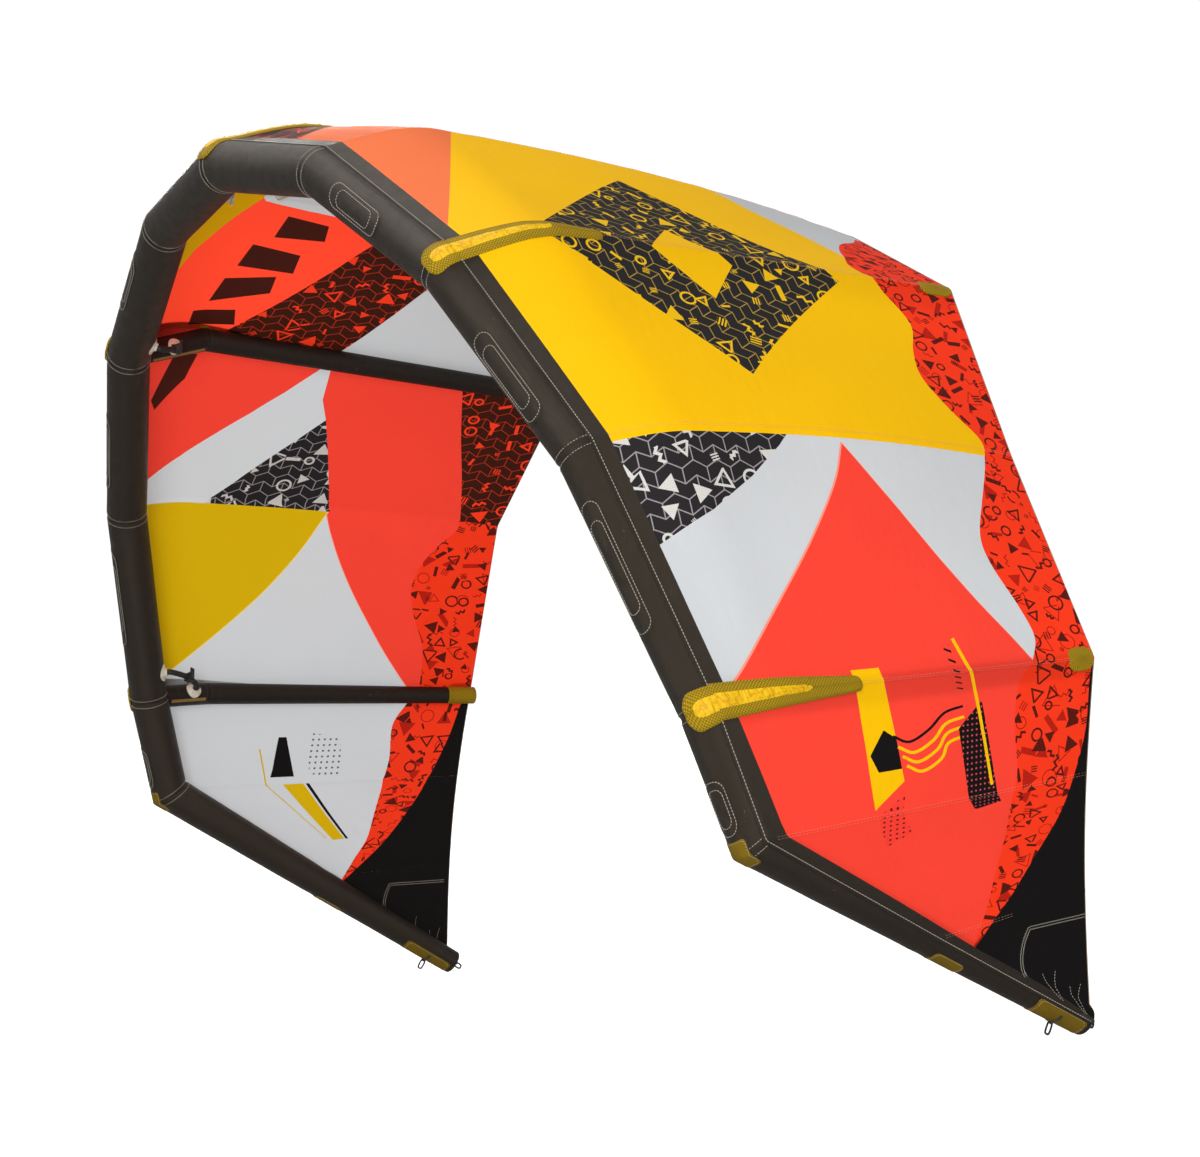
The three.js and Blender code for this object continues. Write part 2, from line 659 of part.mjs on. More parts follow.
for (const [sideName, side] of Object.entries(SIDES)) {
  const tip = leadingPoint(side, TIP_STATION);
  const inner = leadingPoint(side, TIP_STATION - 1);
  const run = tip.clone().sub(inner).normalize();
  const flat = outward(side, TIP_STATION);
  flat.addScaledVector(run, -flat.dot(run)).normalize();
  const down = V(0, 0, 0).crossVectors(run, flat).normalize();
  if (down.z > 0) {
    down.negate();
  }
  const loop = (anchor, pointing) => {
    const across = V(0, 0, 0).crossVectors(pointing, flat).normalize();
    const axes = [pointing, across, flat];
    const centre = anchor.clone().addScaledVector(pointing, LOOP.length / 2);
    const outer = box(centre, axes, [LOOP.length, LOOP.width, LOOP.thickness]);
    const hole = [LOOP.length - 2 * LOOP.bar, LOOP.width - 2 * LOOP.bar, LOOP.thickness * 2];
    return outer.subtract(box(centre, axes, hole));
  };
  const rearAnchor = tip.clone().addScaledVector(run, 2);
  const frontAnchor = tip.clone().addScaledVector(run, -110).addScaledVector(down, 47.2);
  add(`line_loop_rear_${sideName}`, loop(rearAnchor, run), COLORS.black, 0.8);
  add(`line_loop_front_${sideName}`, loop(frontAnchor, down), COLORS.black, 0.8);
}

export default kite;
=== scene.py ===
"""Looks of the kitesurf kite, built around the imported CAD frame.

Metres. X runs across the span, Y aft and Z up. A place on the kite is a station (0 at the
centre, 7 at the tip end) and a chord share (0 at the leading edge, 1 at the trailing edge).
side is 1 for the right wing and -1 for the left wing.
"""

from math import ceil, copysign, cos, exp, hypot, pi, radians, remainder, sin, sqrt, tau

import bmesh
import bpy
import numpy as np
from mathutils import Matrix, Vector, noise
from mathutils.geometry import delaunay_2d_cdt


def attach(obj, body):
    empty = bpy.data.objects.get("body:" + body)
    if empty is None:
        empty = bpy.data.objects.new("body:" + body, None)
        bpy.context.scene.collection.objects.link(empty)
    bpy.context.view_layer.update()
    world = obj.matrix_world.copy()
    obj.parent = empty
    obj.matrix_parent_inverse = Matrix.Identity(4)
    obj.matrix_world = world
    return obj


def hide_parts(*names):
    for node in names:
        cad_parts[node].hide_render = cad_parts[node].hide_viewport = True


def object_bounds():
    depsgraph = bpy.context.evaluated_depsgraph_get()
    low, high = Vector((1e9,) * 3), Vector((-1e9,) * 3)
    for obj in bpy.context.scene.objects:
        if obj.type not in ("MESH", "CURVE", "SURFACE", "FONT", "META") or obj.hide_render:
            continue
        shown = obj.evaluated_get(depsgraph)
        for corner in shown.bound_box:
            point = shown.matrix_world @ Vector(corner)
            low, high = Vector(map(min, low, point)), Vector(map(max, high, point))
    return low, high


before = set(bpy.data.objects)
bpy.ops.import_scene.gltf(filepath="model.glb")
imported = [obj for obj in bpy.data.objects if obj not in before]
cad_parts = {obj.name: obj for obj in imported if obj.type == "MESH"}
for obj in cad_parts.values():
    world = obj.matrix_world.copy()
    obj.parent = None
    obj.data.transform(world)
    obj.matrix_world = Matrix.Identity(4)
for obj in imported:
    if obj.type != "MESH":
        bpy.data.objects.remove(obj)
cad_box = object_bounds()
SIDES = {"left": -1, "right": 1}
FRAME_BODY = "kite_frame"


# ------------------------------------------------------------------ camera, floor, light


def make_camera():
    """The camera that was solved from the photo."""
    right = Vector((0.46808, 0.88165, -0.05993))
    forward = Vector((-0.88283, 0.46953, 0.01223))
    up = right.cross(forward)
    data = bpy.data.cameras.new("camera")
    data.sensor_width = 36
    data.lens = 104.85
    camera = bpy.data.objects.new("camera", data)
    camera.matrix_world = Matrix((right, up, -forward)).transposed().to_4x4()
    camera.location = (10.5187, -4.3108, -1.5460)
    bpy.context.scene.collection.objects.link(camera)
    bpy.context.scene.camera = camera


def make_light(name, place, size, power, colour=(1, 1, 1), kind="AREA"):
    """size is metres for a round lamp and radians for a far one."""
    data = bpy.data.lights.new(name, kind)
    if kind == "SUN":
        data.angle = size
    else:
        data.shape = "DISK"
        data.size = size
    data.energy = power
    data.color = colour
    lamp = bpy.data.objects.new(name, data)
    lamp.location = place
    lamp.rotation_mode = "QUATERNION"
    lamp.rotation_quaternion = (Vector((0, 1, -1.5)) - lamp.location).to_track_quat("-Z", "Y")
    bpy.context.scene.collection.objects.link(lamp)


def make_studio():
    world = bpy.data.worlds.new("studio")
    bpy.context.scene.world = world
    world.use_nodes = True
    tree = world.node_tree
    seen, around = tree.nodes["Background"], tree.nodes.new("ShaderNodeBackground")
    seen.inputs[0].default_value = around.inputs[0].default_value = (1, 1, 1, 1)
    seen.inputs[1].default_value, around.inputs[1].default_value = 1.05, 0.36
    both, path = tree.nodes.new("ShaderNodeMixShader"), tree.nodes.new("ShaderNodeLightPath")
    tree.links.new(path.outputs["Is Camera Ray"], both.inputs[0])
    tree.links.new(around.outputs[0], both.inputs[1])
    tree.links.new(seen.outputs[0], both.inputs[2])
    tree.links.new(both.outputs[0], tree.nodes["World Output"].inputs[0])
    make_light("key", (5, -3.2, 8.5), 0.25, 1.1, (1, 0.97, 0.93), "SUN")
    make_light("back", (-9, 5, 0), 0.35, 2.9, (1, 0.99, 0.96), "SUN")
    make_light("top", (-4, -1, 6), 6, 300, (1, 0.97, 0.93))
    make_light("fill", (11, -7, 0), 6, 1050)
    bpy.context.scene.view_settings.view_transform = "Standard"


# ------------------------------------------------------------------ driving dimensions

# x, y, z, diameter, twist at each station
LEADING_EDGE = [
    (0, 0, 0, 0.166, 0),
    (0.669, 0.045, -0.116, 0.160, 0),
    (1.333, 0.131, -0.495, 0.154, -0.004),
    (1.832, 0.275, -1.056, 0.147, -0.017),
    (2.150, 0.439, -1.772, 0.141, -0.037),
    (2.223, 0.529, -2.141, 0.138, -0.034),
    (2.180, 1.111, -2.499, 0.112, 0.004),
    (2.139, 1.649, -2.829, 0.090, 0.039),
]
TRAILING_EDGE = [
    (0, 1.960, -0.145, 0),
    (0.690, 1.940, -0.335, 0.010),
    (1.329, 1.888, -0.615, 0.045),
    (1.757, 1.779, -1.137, 0.017),
    (2.109, 1.787, -1.769, 0.030),
]
TIP_TRAILING = (2.167, 1.649, -2.774, 0.024)
TIP_HOLLOW = 0.026
OUTER_STRUT, TIP = 4, 7
KINK_CHORD = 0.18
KINK_RISE = [0.104, 0.110, 0.114, 0.080, 0.036, 0.036, 0.030, 0.025]
# how far the cloth lies over the struts, over their ends and over the leading edge tube
OVER_STRUT, OVER_REAR, OVER_TUBE = 0.0072, 0.006, 0.0025
END_CLEARANCE = 0.009  # between a strut's end and the trailing edge
TIP_LIFT, FRONT_LIFT = 0.008, 0.003  # of the cloth over the tip and over the tube's crest
BILLOW = 0.034
# metres from the centre to each station, along the leading edge
ALONG_LEADING = [0, 0.68, 1.45, 2.21, 3.02, 3.41, 4.09, 4.72]
# name: side, station, front and rear diameter
STRUTS = {
    "centre": (1, 0, 0.088, 0.070),
    "inner_left": (-1, 2, 0.084, 0.068),
    "inner_right": (1, 2, 0.084, 0.068),
    "outer_left": (-1, 4, 0.082, 0.062),
    "outer_right": (1, 4, 0.082, 0.062),
}


def lerp(a, b, t):
    return a + (b - a) * t


def along(values, position):
    low = min(int(position), len(values) - 2)
    return lerp(values[low], values[low + 1], position - low)


def place(p, side):
    return Vector((side * p[0], p[1], p[2] + side * p[-1]))


def lead(side, s):
    low = min(int(s), TIP - 1)
    return place(LEADING_EDGE[low], side).lerp(place(LEADING_EDGE[low + 1], side), s - low)


def segment_axis(side, s):
    low = min(int(s), TIP - 1)
    return (lead(side, low + 1) - lead(side, low)).normalized()


def tube_radius(s):
    return along([p[3] for p in LEADING_EDGE], s) / 2


def catmull(a, b, c, d, t):
    """A place on the smooth line from b to c, with a before them and d after them."""
    start = a * (-0.5 * t + t * t - 0.5 * t**3) + b * (1 - 2.5 * t * t + 1.5 * t**3)
    return start + c * (0.5 * t + 2 * t * t - 1.5 * t**3) + d * (-0.5 * t * t + 0.5 * t**3)


def trail(side, s):
    if s >= OUTER_STRUT:
        share = (s - OUTER_STRUT) / (TIP - OUTER_STRUT)
        straight = place(TRAILING_EDGE[-1], side).lerp(place(TIP_TRAILING, side), share)
        return straight + Vector((0, -TIP_HOLLOW * sin(pi * share), 0))
    low = int(s)
    return place(TRAILING_EDGE[low], side).lerp(place(TRAILING_EDGE[low + 1], side), s - low)


def outward_at(side, index):
    index = min(index, TIP - 1)

    def middle(i):
        flip = -side if i < 0 else side
        return lead(flip, abs(i)) + trail(flip, abs(i))

    span = middle(index + 1) - middle(index - 1)
    return (span.cross(trail(side, index) - lead(side, index)) * side).normalized()


OUTWARD = {(side, i): outward_at(side, i) for side in (-1, 1) for i in range(TIP + 1)}


def outward(side, s):
    low = min(int(s), TIP - 1)
    return OUTWARD[side, low].lerp(OUTWARD[side, low + 1], s - low).normalized()


def strut_radius(s, c):
    share = min(s / OUTER_STRUT, 1)
    return lerp(lerp(0.044, 0.041, share), lerp(0.035, 0.031, share), c)


def end_drop(s):
    """How far a strut's end lies under the trailing edge."""
    return strut_radius(s, 1) + END_CLEARANCE - OVER_REAR


def canopy_height(s, c):
    rise = along(KINK_RISE, s)
    fade = max(0, s - OUTER_STRUT) / (TIP - OUTER_STRUT)
    strut_top = OVER_STRUT + strut_radius(s, max(c, KINK_CHORD))
    in_arch = s < OUTER_STRUT
    between = sin(pi * s / 2) ** 2 if in_arch else min(1, 5 * fade)
    over = (1 - fade) * lerp(strut_top, OVER_REAR, between * c**3)
    billow = BILLOW * between * 4 * c * (1 - c) if in_arch else 0
    slope = -(rise + (1 - fade) * (1 - between) * end_drop(s)) / (1 - KINK_CHORD)
    if c >= KINK_CHORD:
        return rise + slope * (c - KINK_CHORD) + over + TIP_LIFT * fade + billow
    front = tube_radius(s) + FRONT_LIFT
    top = rise + over + TIP_LIFT * fade
    t = c / KINK_CHORD
    rest = (1 - t) ** 2 * (1 + 2 * t) * front + 1.5 * t * (1 - t) ** 2 * (top - front)
    return rest + t * t * (3 - 2 * t) * top + t * t * (t - 1) * slope * KINK_CHORD + billow


def canopy(side, s, c, lift=0.0):
    if s < 0:
        side, s = -side, -s
    front = lead(side, s)
    base = front.lerp(trail(side, s), c)
    behind = (base - front).cross(segment_axis(side, s)).length
    clear = tube_radius(s) + OVER_TUBE
    top = sqrt(max(0, clear**2 - behind**2))
    return base + outward(side, s) * (max(canopy_height(s, c), top) + lift)


def tube_basis(side, i):
    here = lead(side, i)
    before = lead(side, i - 1) if i else lead(-side, 1)
    arriving = (here - before).normalized()
    leaving = (lead(side, i + 1) - here).normalized() if i < TIP else arriving
    tangent = (arriving + leaving).normalized()
    across = OUTWARD[side, i] - tangent * OUTWARD[side, i].dot(tangent)
    across.normalize()
    bend = leaving - arriving
    fold = bend.normalized() if bend.length > 1e-6 else Vector()
    return here, across, tangent.cross(across), fold, 1 / arriving.dot(tangent) - 1


TUBE = {(side, i): tube_basis(side, i) for side in (-1, 1) for i in range(TIP + 1)}


def tube(side, s, angle, lift=0.0):
    """A point on the leading edge tube. angle is 0 at the crest and grows towards the nose."""
    low = min(int(s), TIP - 1)
    ends = []
    for i in (low, low + 1):
        here, across, third, fold, stretch = TUBE[side, i]
        spoke = across * cos(angle) + third * (side * sin(angle))
        spoke += fold * (spoke.dot(fold) * stretch)
        ends.append(here + spoke * (LEADING_EDGE[i][3] / 2 + lift))
    return ends[0].lerp(ends[1], s - low)


def strut_line(side, s):
    front, rear, up = lead(side, s), trail(side, s), outward(side, s)
    kink = front.lerp(rear, KINK_CHORD) + up * KINK_RISE[s]
    return front, kink, rear - up * end_drop(s), up


def strut(name, distance, angle, lift=0.0):
    """A point on a strut. angle is 0 at the top and grows towards the tip of the wing."""
    side, s, wide, narrow = STRUTS[name]
    front, kink, rear, up = strut_line(side, s)
    first, second = (kink - front), (rear - kink)
    near, far = first.length, second.length
    first.normalize()
    second.normalize()
    share = min(1, max(0, (distance - near + 0.03) / 0.06))
    tangent = first.lerp(second, share).normalized()
    centre = front + first * distance if distance < near else kink + second * (distance - near)
    sideways = first.cross(up).normalized()
    top = sideways.cross(tangent).normalized()
    radius = wide / 2 if distance < near else lerp(wide, narrow, min(1, (distance - near) / far)) / 2
    spoke = top * cos(angle) + sideways * (side * sin(angle))
    return centre + spoke * (radius + lift)


def beside(side, s, offset):
    """The station that lies so far towards the tip from another, in metres of leading edge."""
    ahead = 0.1 if offset > 0 else -0.1
    step = (lead(side, abs(s + ahead)) - lead(side, s)).length * 10
    return s + offset / step


def strut_length(name):
    front, kink, rear, _ = strut_line(*STRUTS[name][:2])
    return (kink - front).length + (rear - kink).length


# ------------------------------------------------------------------ materials

MATERIALS = {}


def colour(red, green, blue):
    def linear(v):
        v /= 255
        return v / 12.92 if v < 0.04045 else ((v + 0.055) / 1.055) ** 2.4

    return (linear(red), linear(green), linear(blue), 1)


def scaled(base, factor, extra=0):
    return tuple(min(1, v * factor + extra) for v in base[:3]) + (1,)


class Number:
    """A number in a material's node tree, worked out by Python's own operators."""

    def __init__(self, graph, socket):
        self.graph, self.socket = graph, socket

    def do(self, operation, *values):
        return Number(self.graph, self.graph.node("ShaderNodeMath", *values, operation=operation).outputs[0])

    def __add__(self, other):
        return self.do("ADD", self, other)

    def __sub__(self, other):
        return self.do("SUBTRACT", self, other)

    def __rsub__(self, other):
        return self.do("SUBTRACT", other, self)

    def __mul__(self, other):
        return self.do("MULTIPLY", self, other)

    def __abs__(self):
        return self.do("ABSOLUTE", self)

    def __lt__(self, other):
        return self.do("LESS_THAN", self, other)

    def __gt__(self, other):
        return self.do("GREATER_THAN", self, other)

    def __or__(self, other):
        return self.do("MAXIMUM", self, other)

    def pingpong(self, other):
        return self.do("PINGPONG", self, other)


class Graph:
    """A material's node tree, with short calls for the nodes used here."""

    def __init__(self, name):
        self.material = bpy.data.materials.new(name)
        self.material.use_nodes = True
        self.tree = self.material.node_tree
        self.shader = self.tree.nodes["Principled BSDF"]
        self.output = self.tree.nodes["Material Output"]
        MATERIALS[name] = self.material
        self.where = self.node("ShaderNodeUVMap", uv_map="cloth").outputs[0]

    def node(self, kind, *values, **settings):
        made = self.tree.nodes.new(kind)
        for key, value in settings.items():
            setattr(made, key, value)
        for socket, value in zip(made.inputs, values):
            self.put(socket, value)
        return made

    def put(self, socket, value):
        if isinstance(value, Number):
            value = value.socket
        if isinstance(value, bpy.types.NodeSocket):
            self.tree.links.new(value, socket)
        elif value is not None:
            socket.default_value = value

    def vector(self, operation, *values):
        return self.node("ShaderNodeVectorMath", *values, operation=operation).outputs[0]

    def xy(self, vector):
        return [Number(self, v) for v in self.node("ShaderNodeSeparateXYZ", vector).outputs[:2]]

    def tiles(self, size):
        """The place on the cloth, counted in squares of a size."""
        return self.xy(self.vector("SCALE", self.where, None, None, 1 / size))

    def mix(self, share, a, b):
        made = self.node("ShaderNodeMix", data_type="RGBA")
        for key, value in ((0, share), (6, a), (7, b)):
            self.put(made.inputs[key], value)
        return made.outputs[2]

    def blend(self, share, a, b):
        return share * b + (1.0 - share) * a

    def noise(self, scale, detail=3.0, stretch=None):
        where = self.vector("MULTIPLY", self.where, stretch) if stretch else self.where
        made = self.node("ShaderNodeTexNoise", where)
        made.inputs["Scale"].default_value = scale
        made.inputs["Detail"].default_value = detail
        return Number(self, made.outputs[0])

    def weave(self, pitch):
        """1 on the threads and 0 between them, over and under."""
        x, y = (v.do("SINE", v) for v in self.tiles(pitch / tau))
        return x * y

    def bump(self, height, distance, strength=1.0, under=None):
        made = self.node("ShaderNodeBump")
        for key, value in (("Strength", strength), ("Distance", distance), ("Height", height), ("Normal", under)):
            self.put(made.inputs[key], value)
        return made.outputs[0]

    def finish(self, base, normal, **plain):
        for key, value in {"Base_Color": base, "Normal": normal, **plain}.items():
            self.put(self.shader.inputs[key.replace("_", " ")], value)

    def lets_light_through(self, base, share, normal):
        through = self.node("ShaderNodeBsdfTranslucent", base)
        self.put(through.inputs["Normal"], normal)
        both = self.node("ShaderNodeMixShader", share, self.shader.outputs[0], through.outputs[0])
        self.put(self.output.inputs[0], both.outputs[0])

    # Masks: 1 where the ink is. size is in metres.

    def cubes(self, size, width, turn=90):
        """Zigzag rows that run at an angle, joined by posts at their crests and hollows in turn."""
        x, y = self.tiles(size)
        run, over = cos(radians(turn)), sin(radians(turn))
        wave_ = (x * run + y * over).pingpong(0.866)
        height = (y * run - x * over) - wave_ * 0.5774
        width /= size
        line = height.pingpong(0.5) < width * 1.15
        odd = height.do("FLOOR", height).pingpong(1.0)
        return line | (self.blend(odd, wave_, 0.866 - wave_) < width)

    def shapes(self, cell, shift, width=0.004, fill=0.24):
        """Rings, triangles, bars, darts and hatches, one to a cell, each turned its own way."""
        where = self.vector("ADD", self.where, (shift, shift * 1.7, 0))
        cells = self.node("ShaderNodeTexVoronoi", where, voronoi_dimensions="2D")
        cells.inputs["Scale"].default_value = 1 / cell
        cells.inputs["Randomness"].default_value = 0.75
        picks = self.node("ShaderNodeSeparateColor", cells.outputs["Color"]).outputs
        turn, grow, pick = (Number(self, v) for v in picks[:3])
        local = self.vector("SUBTRACT", where, cells.outputs["Position"])
        turned_ = self.node("ShaderNodeVectorRotate", local, rotation_type="Z_AXIS")
        self.put(turned_.inputs["Angle"], turn * tau)
        x, y = self.xy(turned_.outputs[0])
        size = (grow + 0.7) * (cell * fill)
        length = self.node("ShaderNodeVectorMath", local, operation="LENGTH").outputs["Value"]
        radius = Number(self, length)
        wedge = (abs(x) * 0.866 + y * 0.5 | y * -1.0) - size * 0.6
        ring_ = abs(radius - size * 0.8) - width
        bar = (abs(x) - size) | (abs(y) - size * 0.28)
        dart = (abs(y - x.pingpong(size * 0.45)) - width * 1.6) | (abs(x) - size)
        hatch = y.pingpong(size * 0.17) - size * 0.09
        for v, share in ((x, 0.55), (y, 0.6)):
            hatch = hatch | (abs(v) - size * share)
        chosen = ring_
        for start, other in ((0.16, wedge), (0.38, abs(wedge) - width), (0.54, bar), (0.7, dart), (0.86, hatch)):
            chosen = self.blend(pick > start, chosen, other)
        return chosen < 0.0

    def dots(self, pitch, radius):
        dx, dy = (v.do("FRACT", v) - 0.5 for v in self.tiles(pitch))
        far = dx * dx + dy * dy
        return far.do("SQRT", far) < radius / pitch


def tones(g, base, amount, scale=2.2):
    """The colour with slow changes in its lightness, as sun and handling leave."""
    return g.mix(g.noise(scale, 4), scaled(base, 1 - amount), scaled(base, 1 + amount))


def canopy_cloth(name, base, ink=None, style=None, through=0.3, line=None, turn=90, pitch=0.024):
    """Coated ripstop nylon: a fine grid of heavier threads, soft crinkles, light through it."""
    g = Graph(name)
    base = colour(*base)
    shade = tones(g, base, 0.05)
    prints = {
        "cubes": lambda: ((g.cubes(0.046, 0.0018, turn), line), (g.shapes(0.088, 3.1, 0.004), ink)),
        "doodles": lambda: ((g.shapes(0.084, 7.3, 0.002, 0.26), line), (g.shapes(0.064, 1.9, 0.0034, 0.3), ink)),
        "dots": lambda: ((g.dots(pitch, pitch * 0.19), ink),),
        None: tuple,
    }
    for mask, paint in prints[style]():
        shade = g.mix(mask, shade, colour(*paint))
    heavy = [v.do("FRACT", v) < 0.14 for v in g.tiles(0.0055)]
    grid = heavy[0] | heavy[1]
    shade = g.mix(grid * 0.3, shade, scaled(base, 1.25, 0.002))
    crinkle = g.bump(g.noise(9, 5, (1, 2.6, 1)), 0.004, 0.35)
    normal = g.bump(grid, 0.0001, 0.5, crinkle)
    g.finish(shade, normal, Roughness=g.noise(30) * 0.2 + 0.5, Specular_IOR_Level=0.1)
    g.lets_light_through(shade, through, normal)


def woven(
    name, base, pitch, depth, rough, amount=0.2, sheen=0.0, tint=(1, 1, 1, 1), scuff=None,
    specular=0.5, ribs=0.12, crush=0,
):
    """A heavier woven cloth: threads with painted shade between them, tone changes, scuffs where scuff is a colour,
    and with crush, crinkles with painted shade in their creases.
    """
    g = Graph(name)
    base = colour(*base)
    threads = g.weave(pitch)
    # Painted shade: the colour darkens towards 0.4 of the base, by the share ribs, where the threads dip low.
    shade = g.mix(threads * -ribs + ribs, tones(g, base, amount, 5), scaled(base, 0.4))
    if scuff:
        worn = (g.noise(60, 6, (1, 3, 1)) > 0.67) * (g.noise(5, 2) > 0.56)
        shade = g.mix(worn * 0.5, shade, colour(*scuff))
    soft = g.bump(g.noise(14, 4), 0.003, 0.35)
    if crush:
        creases = g.noise(38, 3, (1, 0.45, 1))
        soft = g.bump(creases, crush, 1.0, soft)
        # Painted shade: a darker amber along the creases of the crinkles.
        crease_shade_colour = tuple(v * k for v, k in zip(base, (0.62, 0.42, 0.2))) + (1,)
        shade = g.mix((abs(creases - 0.5) < 0.022) * 0.55, shade, crease_shade_colour)
    normal = g.bump(threads, depth, 0.6, soft)
    rough = g.noise(24) * 0.25 + (rough - 0.12)
    sheens = {"Sheen_Weight": sheen, "Sheen_Roughness": 0.45}
    g.finish(shade, normal, Roughness=rough, Specular_IOR_Level=specular, Specular_Tint=tint, **sheens)


def moulded(name, base, rough, amount=0.08, grime=None):
    """Moulded plastic or rubber with a fine grain and a little grime in its tone."""
    g = Graph(name)
    shade = tones(g, colour(*base), amount, 30)
    if grime:
        shade = g.mix((g.noise(45, 5) > 0.6) * 0.3, shade, colour(*grime))
    normal = g.bump(g.noise(900, 2), 0.0002, 0.4)
    g.finish(shade, normal, Roughness=g.noise(60) * 0.2 + (rough - 0.1), Specular_IOR_Level=0.5)


BLACK_CLOTH, PRINT_DARK = (17, 15, 15), (38, 36, 38)
canopy_cloth("yellow", (248, 190, 0), through=0.12)
# A darker copy of the yellow: painted shade for the yellow on the left wing's outer bays, seen from inside.
canopy_cloth("yellow_left", (224, 184, 4), through=0.12)
canopy_cloth("orange", (246, 122, 72), through=0.2)
canopy_cloth("white", (205, 209, 213))
canopy_cloth("coral", (250, 68, 52), through=0.25)
# A brighter copy of the coral that lets more light through: painted light for the inside of the left wing's inner
# bays.
canopy_cloth("coral_high", (255, 70, 44), through=0.48)
canopy_cloth("black", BLACK_CLOTH, through=0.02)
canopy_cloth("pale_coral", (250, 150, 130))
canopy_cloth("pale_yellow", (236, 214, 130))
canopy_cloth("print_yellow", PRINT_DARK, (248, 196, 10), "cubes", 0.1, (170, 142, 60), 36.7)
canopy_cloth("print_white", PRINT_DARK, (215, 213, 208), "cubes", 0.1, (158, 150, 154))
canopy_cloth("print_coral", (58, 24, 14), (252, 60, 30), "cubes", 0.34, (172, 46, 30))
canopy_cloth("band", (252, 58, 26), (44, 16, 14), "doodles", 0.2, (176, 26, 14))
canopy_cloth("dotted_black", BLACK_CLOTH, (214, 78, 88), "dots", 0.05, pitch=0.017)
canopy_cloth("dotted_coral", (246, 62, 50), BLACK_CLOTH, "dots", 0.25)
canopy_cloth("dotted_white", (205, 209, 213), (70, 70, 74), "dots")
canopy_cloth("dark_red", (70, 26, 18), through=0.2)
woven("dacron", (25, 20, 16), 0.0016, 0.0004, 0.45, 0.3, 0, (1, 0.84, 0.66, 1), (110, 98, 80))
woven("strut_cloth", (26, 21, 19), 0.0016, 0.0004, 0.5, 0.3, 0, (1, 0.86, 0.72, 1), (90, 78, 66), 0.32)
# ribs sets how much painted shade darkens the low places between the threads.
woven("olive", (200, 164, 10), 0.0105, 0.0026, 0.6, 0.15, specular=0.2, ribs=0.75)
woven("olive_dark", (142, 114, 8), 0.009, 0.0015, 0.6, 0.25, specular=0.2, ribs=0.45)
woven("hem", (150, 128, 112), 0.003, 0.0004, 0.6, sheen=0.1)
woven("insert", (252, 196, 6), 0.0022, 0.0003, 0.4, 0.15, specular=0.3, crush=0.012)
woven("webbing", (24, 23, 22), 0.003, 0.0008, 0.6, 0.3, 0.2)
woven("ochre", (150, 110, 30), 0.003, 0.0008, 0.55, 0.25, 0.2)
for name, base in (("thread", (206, 198, 182)), ("dark_thread", (70, 62, 52)), ("pale_thread", (222, 168, 138))):
    woven(name, base, 0.001, 0.0002, 0.6, sheen=0.1)
moulded("white_plastic", (222, 216, 200), 0.35, 0.06, (150, 130, 100))
moulded("rubber", (22, 22, 22), 0.55)
moulded("clip_plastic", (28, 28, 29), 0.4)
moulded("film", (200, 212, 216), 0.22)
moulded("floor", (160, 160, 160), 0.8, 0.01)

FLOOR_GLOW = 0.74  # how brightly the camera sees the floor, so that it fades into the backdrop
floor_tree = MATERIALS["floor"].node_tree
floor_shader, floor_glow = floor_tree.nodes["Principled BSDF"], floor_tree.nodes.new("ShaderNodeMath")
floor_glow.operation = "MULTIPLY"
floor_glow.inputs[1].default_value = FLOOR_GLOW
floor_tree.links.new(floor_tree.nodes.new("ShaderNodeLightPath").outputs["Is Camera Ray"], floor_glow.inputs[0])
floor_tree.links.new(floor_glow.outputs[0], floor_shader.inputs["Emission Strength"])
floor_shader.inputs["Emission Color"].default_value = (1, 1, 1, 1)


# ------------------------------------------------------------------ mesh helpers


def ring(centre, a, b, count):
    """Places around a centre, on the oval with the half axes a and b."""
    return [centre + a * cos(turn) + b * sin(turn) for turn in around(count)]


def around(count):
    return [tau * k / count for k in range(count)]


def middle_of(row):
    return sum(row, Vector()) / len(row)


